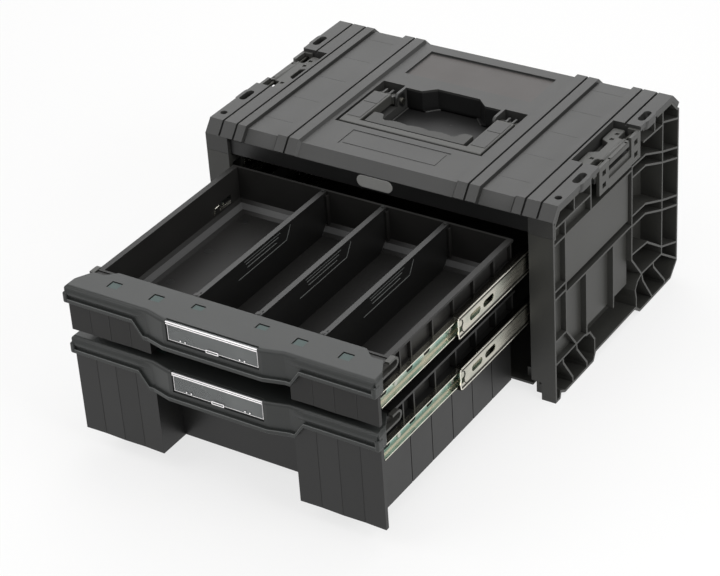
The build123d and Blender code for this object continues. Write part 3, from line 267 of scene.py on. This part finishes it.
# finger recess and hinge pockets of the lid get painted shade (near black), the rear field a brownish tint;
# in millimetres, the same on both sides
paintedShadeRooms = (((0.0, -46.0, 216.0), (63.0, 38.5, 240.5)), ((73.0, 4.0, 216.0), (94.5, 27.0, 240.5)))
rearField = (((0.0, 59.0, 230.0), (82.0, 116.5, 248.0)),)
lidPaintedShadeAndTint = mouldedPlastic("polypropyleneLidWellPaintedShadeAndTint", "#2a2a29", "#353534", 0.44)
toneAndPaintedLightInside(lidPaintedShadeAndTint, paintedShadeRooms, "#090909")
toneAndPaintedLightInside(lidPaintedShadeAndTint, rearField, "#373230")
ownFinish = {f"{level}_{side}_drawer_rail": drawerRail for level in levels for side in sides}
ownFinish.update({f"{level}_{side}_middle_rail": middleRailPaintedShade for level in levels for side in sides})
# the handle pins take the near-white steel, a painted highlight
ownFinish.update({"upper_drawer_tub": upperTubPaintedSlopeHighlight, "top_cover": lidPaintedShadeAndTint, "latch_pins": darkSteelAndGutterShade,
                  "handle_pins": paintedHighlightSteel})
slotOf = {entry["node"]: entry["material_slot"] for entry in frame["record"]["subparts"]}
for nodeName, node in frame["nodes"].items():
    node.data.materials.clear()
    node.data.materials.append(ownFinish.get(nodeName, finishes[slotOf[nodeName]]))
print("finishes set:", len(finishes))


# moulded edges are never sharp: live modifiers join the CAD triangles and round their edges, in millimetres
softEdges = {
    "lid_plastic": 0.7, "side_plastic": 0.45, "header_plastic": 0.6, "tub_plastic": 0.6,
    "fascia_plastic": 0.7, "latch_plastic": 0.6, "grip_plastic": 0.6, "slide_steel": 0.25,
    "badge_plastic": 0.2,
}
rounding = {"joinMm": 0.004, "flatDegrees": 1.0, "edgeDegrees": 28.0, "segments": 2}
for nodeName, node in frame["nodes"].items():
    width = softEdges.get(slotOf[nodeName])
    if width is None:
        continue
    weld = node.modifiers.new("joinTriangles", "WELD")
    weld.merge_threshold = rounding["joinMm"] * mm
    flat = node.modifiers.new("mergeFlats", "DECIMATE")
    flat.decimate_type = "DISSOLVE"
    flat.angle_limit = radians(rounding["flatDegrees"])
    edge = node.modifiers.new("roundEdges", "BEVEL")
    edge.width = width * mm
    edge.segments = rounding["segments"]
    edge.limit_method = "ANGLE"
    edge.angle_limit = radians(rounding["edgeDegrees"])
    edge.profile = 0.5
    edge.harden_normals = True
print("edges softened")


# mesh helpers, all in millimetres until the piece is finished
def softenEdges(form, edges, bevel):
    bmesh.ops.bevel(form, geom=list(edges), offset=bevel, offset_type="OFFSET", affect="EDGES",
                    segments=2, profile=0.5, material=-1)


def addBar(form, low, high, bevel):
    made = bmesh.ops.create_cube(form, size=1.0)["verts"]
    low, high = Vector(low), Vector(high)
    bmesh.ops.scale(form, vec=high - low, verts=made)
    bmesh.ops.translate(form, vec=(low + high) / 2, verts=made)
    softenEdges(form, {edge for vert in made for edge in vert.link_edges}, bevel)


def addDisc(form, centre, radius, height, axis, bevel, segments):
    turn = Matrix.Rotation(pi / 2, 4, "X") if axis == "y" else Matrix.Identity(4)
    made = bmesh.ops.create_cone(form, cap_ends=True, segments=segments, radius1=radius, radius2=radius,
                                 depth=height, matrix=Matrix.Translation(centre) @ turn)["verts"]
    caps = {face for vert in made for face in vert.link_faces if len(face.verts) > 4}
    softenEdges(form, {edge for face in caps for edge in face.edges}, bevel)


def extrudeFace(form, face, move):
    inside = all(len(edge.link_faces) > 1 for edge in face.edges)
    made = bmesh.ops.extrude_face_region(form, geom=[face])["geom"]
    last = next(item for item in made if isinstance(item, bmesh.types.BMFace))
    bmesh.ops.translate(form, vec=move, verts=last.verts[:])
    if inside:
        form.faces.remove(face)
    return last


def addSweep(form, section, path):
    face = form.faces.new([form.verts.new(Vector(path[0]) + Vector(corner)) for corner in section])
    for start, stop in zip(path, path[1:]):
        face = extrudeFace(form, face, Vector(stop) - Vector(start))
    return face


def finishPiece(name, form, slotName, body, finish=None):
    bmesh.ops.scale(form, vec=(mm, mm, mm), verts=form.verts[:])
    bmesh.ops.recalc_face_normals(form, faces=form.faces[:])
    mesh = bpy.data.meshes.new(name)
    form.to_mesh(mesh)
    form.free()
    mesh.materials.append(finish or finishes[slotName])
    piece = bpy.data.objects.new(name, mesh)
    bpy.context.collection.objects.link(piece)
    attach(piece, body)
    return piece


def rodSection(radius, axis, corners=8):
    turns = [2 * pi * step / corners for step in range(corners)]
    if axis == "x":
        return [(0, radius * cos(turn), radius * sin(turn)) for turn in turns]
    if axis == "y":
        return [(radius * cos(turn), 0, radius * sin(turn)) for turn in turns]
    return [(radius * cos(turn), radius * sin(turn), 0) for turn in turns]


def fromBox(node):
    return [[value / mm for value in corner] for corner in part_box(node)]


# each drawer front has a rounded nose, a lip below it whose top edge is a rod of lighter plastic as a
# painted highlight, and a cheek at both ends
lip = {"tall": 5.0, "proud": 3.0, "sunk": 0.4, "soft": 0.5, "endDrop": 20.0, "midDrop": 37.0,
       "dropStart": 104.0, "dropEnd": 92.0, "bowEnd": 86.0, "bowHalf": 62.0, "bow": 6.0, "endIn": 0.6,
       "edgeR": 0.4}
cheek = {"wide": 4.5, "out": 0.6, "deep": 7.0, "top": 7.0, "soft": 1.6}
nose = {"profile": ((0.8, -1.7), (-0.2, -2.9), (-1.1, -4.4), (-1.8, -6.2), (-2.1, -8.0), (-1.9, -9.8),
                    (-1.2, -11.4), (0.0, -12.8), (0.8, -13.4)), "in": 104.0, "taper": 17.0, "tip": 0.2}
for level in levels:
    low, high = fromBox(f"{level}_drawer_front")
    top, mid = high[2], low[1]
    end = mid + lip["bow"]
    half = high[0] - lip["endIn"]
    highZ, lowZ = top - lip["endDrop"], top - lip["midDrop"]
    leftPath = [(-half, end, highZ), (-lip["dropStart"], end, highZ), (-lip["dropEnd"], end, lowZ),
                (-lip["bowEnd"], end, lowZ), (-lip["bowHalf"], mid, lowZ)]
    path = leftPath + [(-x, y, z) for x, y, z in reversed(leftPath)]
    outer, shoulder = -lip["proud"], -lip["proud"] + lip["soft"]
    section = [(0, lip["sunk"], 0), (0, shoulder, 0), (0, outer, lip["soft"]),
               (0, outer, lip["tall"] - lip["soft"]), (0, shoulder, lip["tall"]),
               (0, lip["sunk"], lip["tall"])]
    form = bmesh.new()
    addSweep(form, section, path)
    finishPiece(f"{level}FasciaLip", form, "fascia_plastic", f"{level}_drawer")
    form = bmesh.new()
    root = Matrix.Translation((0, -end - nose["profile"][0][0], 0))
    section = [(0, out, up) for out, up in nose["profile"]]
    for side in (-1, 1):
        start, stop = side * (high[0] - cheek["wide"] / 2), side * nose["in"]
        inner = addSweep(form, section, [(start, end, top), (stop, end, top)])
        tip = extrudeFace(form, inner, (-side * nose["taper"], 0, 0))
        bmesh.ops.scale(form, vec=(1, nose["tip"], 1), verts=tip.verts[:], space=root)
    finishPiece(f"{level}FasciaNose", form, "fascia_plastic", f"{level}_drawer")
    form = bmesh.new()
    for side in (-1, 1):
        across = sorted((side * (high[0] - cheek["wide"]), side * (high[0] + cheek["out"])))
        addBar(form, (across[0], end - cheek["out"] - lip["proud"], highZ),
               (across[1], end + cheek["deep"], top - cheek["top"]), cheek["soft"])
    finishPiece(f"{level}FasciaCheeks", form, "fascia_plastic", f"{level}_drawer")
    form = bmesh.new()
    up, out = lip["tall"] - lip["edgeR"], lip["proud"] - lip["soft"] / 2
    addSweep(form, rodSection(lip["edgeR"], "x"), [(x, y - out, z + up) for x, y, z in path])
    finishPiece(f"{level}FasciaLipEdges", form, "fascia_plastic", f"{level}_drawer", paintedHighlightEdge)

# faint upright lines where the facets of the front blocks meet
facet = {"places": (114.25, 140.5, 166.75), "backs": (0.7, 0.0, 0.7), "wide": 1.2, "proud": 0.3,
         "sunk": 0.4, "foot": 1.0, "head": 1.0}
for level in levels:
    front, bottom = fromBox(f"{level}_drawer_tub")[0][1:]
    foot = bottom + facet["foot"]
    head = fromBox(f"{level}_drawer_front")[1][2] - lip["endDrop"] - facet["head"]
    half = facet["wide"] / 2
    section = [(-half, facet["sunk"], 0), (-half / 2, -facet["proud"], 0), (half / 2, -facet["proud"], 0),
               (half, facet["sunk"], 0)]
    form = bmesh.new()
    for x, back in zip(facet["places"], facet["backs"]):
        for side in (-1, 1):
            addSweep(form, section, [(side * x, front + back, z) for z in (foot, head)])
    finishPiece(f"{level}BlockLines", form, "tub_plastic", f"{level}_drawer")

# looped catches at both ends of each drawer front, bent from one strip
catch = {"in": 181.6, "out": 187.4, "thick": 2.8, "radius": 6.6, "back": 404.0, "topDrop": 1.4,
         "topFront": 421.0, "lowFront": 446.0, "steps": 14}
for level in levels:
    roof = fromBox(f"{level}_drawer_front")[1][2] - catch["topDrop"]
    middle = (0, -catch["back"] - catch["radius"], roof - catch["radius"])
    strip = ((catch["in"], 0), (catch["out"], 0), (catch["out"], catch["thick"]),
             (catch["in"], catch["thick"]))
    form = bmesh.new()
    for side in (-1, 1):
        corners = [(side * x, -catch["topFront"], roof - drop) for x, drop in strip]
        face = form.faces.new([form.verts.new(corner) for corner in corners])
        face = extrudeFace(form, face, (0, catch["topFront"] + middle[1], 0))
        turned = bmesh.ops.spin(form, geom=[face], cent=middle, axis=(1, 0, 0), angle=-pi,
                                steps=catch["steps"])
        last = next(item for item in turned["geom_last"] if isinstance(item, bmesh.types.BMFace))
        form.faces.remove(face)
        extrudeFace(form, last, (0, -catch["lowFront"] - middle[1], 0))
    piece = finishPiece(f"{level}CatchLoops", form, "latch_plastic", f"{level}_drawer")
    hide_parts(f"{level}_drawer_catches")

# soft pads set in the pockets on top of each drawer front: place along it, distance from its rear, length
pads = {"rows": ((40.0, 16.0, 9.0), (89.5, 21.5, 12.0), (144.5, 21.5, 12.0)), "width": 13.5, "depth": 1.6,
        "gap": 0.8, "below": 0.5, "shift": 0.5, "rim": 0.3}
for level in levels:
    rear, top = fromBox(f"{level}_drawer_front")[1][1:]
    form = bmesh.new()
    for x, fromRear, length in pads["rows"]:
        for side in (-1, 1):
            middle = (side * x + pads["shift"], rear - fromRear - pads["shift"])
            reach = (pads["width"] / 2 - pads["gap"], length / 2 - pads["gap"])
            addBar(form, (middle[0] - reach[0], middle[1] - reach[1], top - pads["depth"]),
                   (middle[0] + reach[0], middle[1] + reach[1], top - pads["below"]), pads["rim"])
    finishPiece(f"{level}FasciaPads", form, "fascia_plastic", f"{level}_drawer", padRubber)

# polished hinge bead, edges, dots and finger tab of each clear label window, with a painted glow that makes
# them look white
label = {"half": 56.0, "height": 21.5, "sheet": 1.4, "drop": 2.8, "inset": 2.2, "edge": 0.24,
         "edgeTop": 1.0, "edgeUp": 0.4}
bead = {"up": 1.1, "out": 1.55, "r": 0.72, "over": 0.8}
tab = {"wide": 7.4, "tall": 2.9, "r": 0.4, "out": 0.2}
dot = {"places": (34.0, 40.0), "up": 3.0, "r": 0.9, "out": 0.9, "high": 0.6, "soft": 0.2, "segments": 12}
for level in levels:
    low, high = fromBox(f"{level}_drawer_front")
    y, z = low[1] + label["inset"], high[2] - label["drop"]
    face = y - label["sheet"] / 2
    foot = z - label["height"]
    half = label["half"]
    form = bmesh.new()
    for up in (bead["up"], -bead["up"]):
        reach = half + bead["over"]
        addSweep(form, rodSection(bead["r"], "x"),
                 [(-reach, y - bead["out"], z + up), (reach, y - bead["out"], z + up)])
    for side in (-1, 1):
        addSweep(form, rodSection(label["edge"], "z"),
                 [(side * half, face, foot), (side * half, face, z - label["edgeTop"])])
        for x in dot["places"]:
            addDisc(form, (side * x, face - dot["out"], foot + dot["up"]), dot["r"], dot["high"], "y",
                    dot["soft"], dot["segments"])
    sill = foot + label["edgeUp"]
    addSweep(form, rodSection(label["edge"], "x"), [(-half, face, sill), (half, face, sill)])
    wide, outY, head = tab["wide"], y - label["inset"] - tab["out"], foot + tab["tall"]
    loop = [(-wide, outY, foot), (wide, outY, foot), (wide, outY, head), (-wide, outY, head)]
    for start, stop in zip(loop, loop[1:] + loop[:1]):
        axis = "x" if start[2] == stop[2] else "z"
        addSweep(form, rodSection(tab["r"], axis), [start, stop])
    finishPiece(f"{level}LabelEdges", form, "label_clear", f"{level}_label", paintedGlowEdge)

# raised marks moulded on the right face of each divider, in lighter plastic as a painted highlight, and the
# clip at its front end
marks = {"proud": 0.45, "sunk": 0.3, "wide": 0.8, "plate": 1.5,
         "outline": ((-236.0, 201.0), (-245.5, 186.0), (-337.0, 185.5)),
         "lines": ((201.0, -256.0, -324.0), (197.3, -260.0, -322.0), (192.6, -264.0, -320.0))}
clip = {"half": 4.0, "front": -410.6, "rear": -404.0, "low": 203.0, "top": 207.6, "soft": 0.6}
tongue = {"half": 1.0, "front": 1.0, "rear": 4.0, "under": 0.4, "soft": 0.3}
for number in (1, 2, 3):
    low, high = fromBox(f"divider_{number}")
    middle = (low[0] + high[0]) / 2
    x = middle + marks["plate"]
    ridge = [(-marks["sunk"], -marks["wide"] / 2), (marks["proud"], -marks["wide"] / 4),
             (marks["proud"], marks["wide"] / 4), (-marks["sunk"], marks["wide"] / 2)]
    alongY = [(out, 0, up) for out, up in ridge]
    alongZ = [(out, up, 0) for out, up in ridge]
    form = bmesh.new()
    addSweep(form, alongY, [(x, y, z) for y, z in marks["outline"][1:]])
    addSweep(form, alongZ, [(x, y, z) for y, z in marks["outline"][:2]])
    for z, rear, front in marks["lines"]:
        addSweep(form, alongY, [(x, rear, z), (x, front, z)])
    finishPiece(f"divider{number}Marks", form, "tub_plastic", f"divider_{number}_body", paintedHighlightEdge)
    form = bmesh.new()
    addBar(form, (middle - clip["half"], clip["front"], clip["low"]),
           (middle + clip["half"], clip["rear"], clip["top"]), clip["soft"])
    addBar(form, (middle - tongue["half"], clip["rear"] - tongue["front"], clip["low"]),
           (middle + tongue["half"], clip["rear"] + tongue["rear"], clip["top"] - tongue["under"]),
           tongue["soft"])
    finishPiece(f"divider{number}Clip", form, "tub_plastic", f"divider_{number}_body")

# rolled edges in near-white steel as a painted highlight, dark steel rods in the gutters as painted shade,
# bulged front end and bent stop of the middle rails
rolled = {"edgeUp": 12.6, "edgeR": 0.8, "edgeIn": 0.5, "gutterUp": 10.9, "gutterR": 0.4, "gutterIn": 2.0}
railEnd = {"r": 0.8, "in": 0.4,
           "bulge": ((-1.0, 0.0), (-0.5, -1.4), (0.0, -0.3), (0.5, -1.4), (1.0, 0.0))}
railStop = {"r": 0.75,
            "bends": ((4.0, 8.5), (6.5, 7.0), (7.5, 3.0), (5.0, -1.0), (5.5, -5.5), (8.5, -8.5))}
for level in levels:
    for sideName, side in sides.items():
        low, high = fromBox(f"{level}_{sideName}_middle_rail")
        face = high[0] if side > 0 else low[0]
        middle = (low[2] + high[2]) / 2
        front, rear = low[1], high[1]
        body = f"{level}_{sideName}_middle_slide"
        prefix = f"{level}{sideName.title()}Rail"
        form = bmesh.new()
        for up in (-rolled["gutterUp"], rolled["gutterUp"]):
            ends = (front + rolled["gutterIn"], rear - rolled["gutterIn"])
            addSweep(form, rodSection(rolled["gutterR"], "y"), [(face, y, middle + up) for y in ends])
        finishPiece(f"{prefix}GutterPaintedShade", form, "cage_steel", body, darkSteelAndGutterShade)
        form = bmesh.new()
        for up in (-rolled["edgeUp"], rolled["edgeUp"]):
            ends = (front + rolled["edgeIn"], rear - rolled["edgeIn"])
            addSweep(form, rodSection(rolled["edgeR"], "y"), [(face, y, middle + up) for y in ends])
        addSweep(form, rodSection(railEnd["r"], "z"),
                 [(face - side * railEnd["in"], front + out, middle + up * rolled["edgeUp"])
                  for up, out in railEnd["bulge"]])
        finishPiece(f"{prefix}Edges", form, "slide_steel", body, paintedHighlightSteel)
        form = bmesh.new()
        addSweep(form, rodSection(railStop["r"], "z"),
                 [(face, front + back, middle + up) for back, up in reversed(railStop["bends"])])
        finishPiece(f"{prefix}Stop", form, "cage_steel", body, darkSteelAndGutterShade)

# ejector marks on the tub floor and the rail's bent tab seen through the wall slot, the tab in near-white
# steel as a painted highlight
ejector = {"discs": ((-151.0, -262.0), (-152.0, -190.0), (-152.0, -333.5)), "discR": 5.0, "discSoft": 0.2,
           "dot": (-129.0, -254.0), "dotR": 1.3, "dotSoft": 0.15, "high": 0.6, "floorUp": 3.0,
           "discSegments": 32, "dotSegments": 16}
railTab = {"plate": ((-177.0, -204.0, 168.6), (-174.2, -183.0, 172.6)), "plateSoft": 0.4, "hookX": -174.3,
           "hookR": 0.7, "hook": ((-215.5, 169.6), (-213.0, 176.4), (-206.0, 176.8), (-199.0, 172.0))}
floorUp = fromBox("upper_drawer_tub")[0][2] + ejector["floorUp"]
form = bmesh.new()
for x, y in ejector["discs"]:
    addDisc(form, (x, y, floorUp), ejector["discR"], ejector["high"], "z", ejector["discSoft"],
            ejector["discSegments"])
addDisc(form, (*ejector["dot"], floorUp), ejector["dotR"], ejector["high"], "z", ejector["dotSoft"],
        ejector["dotSegments"])
finishPiece("upperTubEjectorMarks", form, "tub_plastic", "upper_drawer")
form = bmesh.new()
addBar(form, *railTab["plate"], railTab["plateSoft"])
addSweep(form, rodSection(railTab["hookR"], "y"), [(railTab["hookX"], y, z) for y, z in railTab["hook"]])
finishPiece("upperRailTab", form, "slide_steel", "upper_drawer", paintedHighlightSteel)

# raised panels on the handle arms, parted by a narrow groove
armPanel = {"in": 72.5, "out": 90.5, "front": -60.0, "rear": 0.5, "rise": 0.45, "sunk": 0.6, "soft": 0.35,
            "split": -24.0, "groove": 0.8}
top = fromBox("carry_handle")[1][2]
form = bmesh.new()
for side in (-1, 1):
    across = sorted((side * armPanel["in"], side * armPanel["out"]))
    for front, rear in ((armPanel["front"], armPanel["split"] - armPanel["groove"] / 2),
                        (armPanel["split"] + armPanel["groove"] / 2, armPanel["rear"])):
        addBar(form, (across[0], front, top - armPanel["sunk"]),
               (across[1], rear, top + armPanel["rise"]), armPanel["soft"])
finishPiece("handleArmPanels", form, "lid_plastic", "handle")

# moulded fillet along the foot of the finger recess, with the gate mark on its floor
recess = {"half": ((60.9, -36.0), (60.9, 23.9), (37.0, 23.9), (25.0, 36.4)), "floor": 217.5, "up": 0.4,
          "filletR": 1.0}
gate = {"place": (5.1, 9.7), "r": 1.1, "high": 0.6, "soft": 0.2, "segments": 16}
form = bmesh.new()
leftPath = [(-x, y, recess["floor"] + recess["up"]) for x, y in recess["half"]]
path = leftPath + [(-x, y, z) for x, y, z in reversed(leftPath)]
addSweep(form, rodSection(recess["filletR"], "y"), path)
addDisc(form, (*gate["place"], recess["floor"]), gate["r"], gate["high"], "z", gate["soft"],
        gate["segments"])
finishPiece("recessFillet", form, "lid_plastic", "cabinet")

# faint cross lines on the lid's wide fields
crossLines = {"in": 133.5, "out": 172.0, "places": (113.0, 60.0, 6.0, -50.0, -105.0), "level": 243.8,
              "wide": 0.8, "proud": 0.1, "sunk": 0.5, "soft": 0.05}
form = bmesh.new()
for y in crossLines["places"]:
    for side in (-1, 1):
        across = sorted((side * crossLines["in"], side * crossLines["out"]))
        addBar(form, (across[0], y - crossLines["wide"] / 2, crossLines["level"] - crossLines["sunk"]),
               (across[1], y + crossLines["wide"] / 2, crossLines["level"] + crossLines["proud"]),
               crossLines["soft"])
finishPiece("lidCrossLines", form, "lid_plastic", "cabinet")

# ribs on the handle's hinge knuckles
knuckle = {"places": (76.0, 84.5), "wide": 3.0, "front": 10.0, "rear": 21.0, "low": 234.0, "top": 239.6,
           "soft": 0.5}
form = bmesh.new()
for place in knuckle["places"]:
    for side in (-1, 1):
        across = sorted((side * place, side * (place + knuckle["wide"])))
        addBar(form, (across[0], knuckle["front"], knuckle["low"]),
               (across[1], knuckle["rear"], knuckle["top"]), knuckle["soft"])
finishPiece("handleKnuckleRibs", form, "lid_plastic", "handle")


# floor, backdrop light and camera as in the studio picture
stageSet = {"floorSize": 8.0, "floorHex": "#f4f4f3", "floorGlow": 0.74, "toothMm": 4.0, "toothHighMm": 0.1,
            "toothBump": 0.02, "matt": 0.9, "worldFill": 0.2, "worldSheen": 0.55}
white = (1.0, 1.0, 1.0, 1.0)
floorMesh = bpy.data.meshes.new("floor")
floorForm = bmesh.new()
bmesh.ops.create_grid(floorForm, x_segments=1, y_segments=1, size=stageSet["floorSize"] / 2)
floorForm.to_mesh(floorMesh)
floorForm.free()
floor = bpy.data.objects.new("floor", floorMesh)
bpy.context.collection.objects.link(floor)
floorPaint, tree = newMaterial("paperSweepWhite")  # seamless paper: matt and white, keeps a soft shadow
place = addNode(tree, "ShaderNodeTexCoord").outputs["Object"]
tooth = addNode(tree, "ShaderNodeTexNoise", {"Scale": 1 / (stageSet["toothMm"] * mm)}, {"Vector": place})
bump = addNode(tree, "ShaderNodeBump",
               {"Strength": stageSet["toothBump"], "Distance": stageSet["toothHighMm"] * mm},
               {"Height": tooth.outputs["Fac"]})
paper = addNode(tree, "ShaderNodeBsdfPrincipled",
                {"Base Color": toLinear(stageSet["floorHex"]), "Roughness": stageSet["matt"]},
                {"Normal": bump.outputs[0]})
glow = addNode(tree, "ShaderNodeEmission", {"Color": white, "Strength": 1.0})
rays = addNode(tree, "ShaderNodeLightPath")
plain = addNode(tree, "ShaderNodeMath", {"operation": "MAXIMUM"},
                {0: rays.outputs["Is Camera Ray"], 1: rays.outputs["Is Glossy Ray"]})
seen = addNode(tree, "ShaderNodeMath", {"operation": "MULTIPLY", 1: stageSet["floorGlow"]},
               {0: plain.outputs[0]})
mix = addNode(tree, "ShaderNodeMixShader",
              links={0: seen.outputs[0], 1: paper.outputs[0], 2: glow.outputs[0]})
addNode(tree, "ShaderNodeOutputMaterial", links={"Surface": mix.outputs[0]})
floorMesh.materials.append(floorPaint)

world = bpy.data.worlds.new("studio")
bpy.context.scene.world = world
world.use_nodes = True
tree = world.node_tree
tree.nodes.clear()
rays = addNode(tree, "ShaderNodeLightPath")
plain = addNode(tree, "ShaderNodeMath", {"operation": "MAXIMUM"},
                {0: rays.outputs["Is Camera Ray"], 1: rays.outputs["Is Transmission Ray"]})
fill = addNode(tree, "ShaderNodeBackground", {"Color": white, "Strength": stageSet["worldFill"]})
sheen = addNode(tree, "ShaderNodeBackground", {"Color": white, "Strength": stageSet["worldSheen"]})
paperWhite = addNode(tree, "ShaderNodeBackground", {"Color": white, "Strength": 1.0})
mix = addNode(tree, "ShaderNodeMixShader",
              links={0: rays.outputs["Is Glossy Ray"], 1: fill.outputs[0], 2: sheen.outputs[0]})
mix = addNode(tree, "ShaderNodeMixShader",
              links={0: plain.outputs[0], 1: mix.outputs[0], 2: paperWhite.outputs[0]})
addNode(tree, "ShaderNodeOutputWorld", links={"Surface": mix.outputs[0]})

softboxes = {
    "rearSoftbox": {"place": (-1.1, 1.66, 1.6), "size": 2.4, "watts": 28},
    "overheadSoftbox": {"place": (0.35, 0.1, 2.3), "size": 2.0, "watts": 22},
    "rightSoftbox": {"place": (2.3, -0.5, 1.3), "size": 1.5, "watts": 33},
    "frontSoftbox": {"place": (0.7, -2.5, 1.5), "size": 1.6, "watts": 7},
    "frontTopSoftbox": {"place": (-1.15, -1.43, 1.8), "size": 1.7, "watts": 17},
}
aim = Vector((0.0, -0.15, 0.12))
for name, box in softboxes.items():
    lamp = bpy.data.lights.new(name, "AREA")
    lamp.shape = "SQUARE"
    lamp.size = box["size"]
    lamp.energy = box["watts"]
    holder = bpy.data.objects.new(name, lamp)
    holder.location = box["place"]
    holder.rotation_euler = (aim - Vector(box["place"])).to_track_quat("-Z", "Y").to_euler()
    bpy.context.collection.objects.link(holder)

lens = {"azimuth": -34.467, "elevation": 32.328, "roll": -4.029, "focalPx": 2329.97, "imageWidth": 720,
        "place": (1.2424, -1.9998, 1.4975)}
az, el, roll = (radians(lens[key]) for key in ("azimuth", "elevation", "roll"))
look = Vector((sin(az) * cos(el), cos(az) * cos(el), -sin(el)))
flatRight = look.cross(Vector((0, 0, 1))).normalized()
above = flatRight.cross(look)
right = cos(roll) * flatRight + sin(roll) * above
up = -sin(roll) * flatRight + cos(roll) * above
cameraData = bpy.data.cameras.new("camera")
cameraData.sensor_width = 36.0
cameraData.lens = lens["focalPx"] / lens["imageWidth"] * cameraData.sensor_width
camera = bpy.data.objects.new("camera", cameraData)
turned = Matrix((right, up, -look)).transposed().to_4x4()
camera.matrix_world = Matrix.Translation(Vector(lens["place"])) @ turned
bpy.context.collection.objects.link(camera)
bpy.context.scene.camera = camera
bpy.context.scene.view_settings.view_transform = "Standard"
print("stage, lights and camera set")
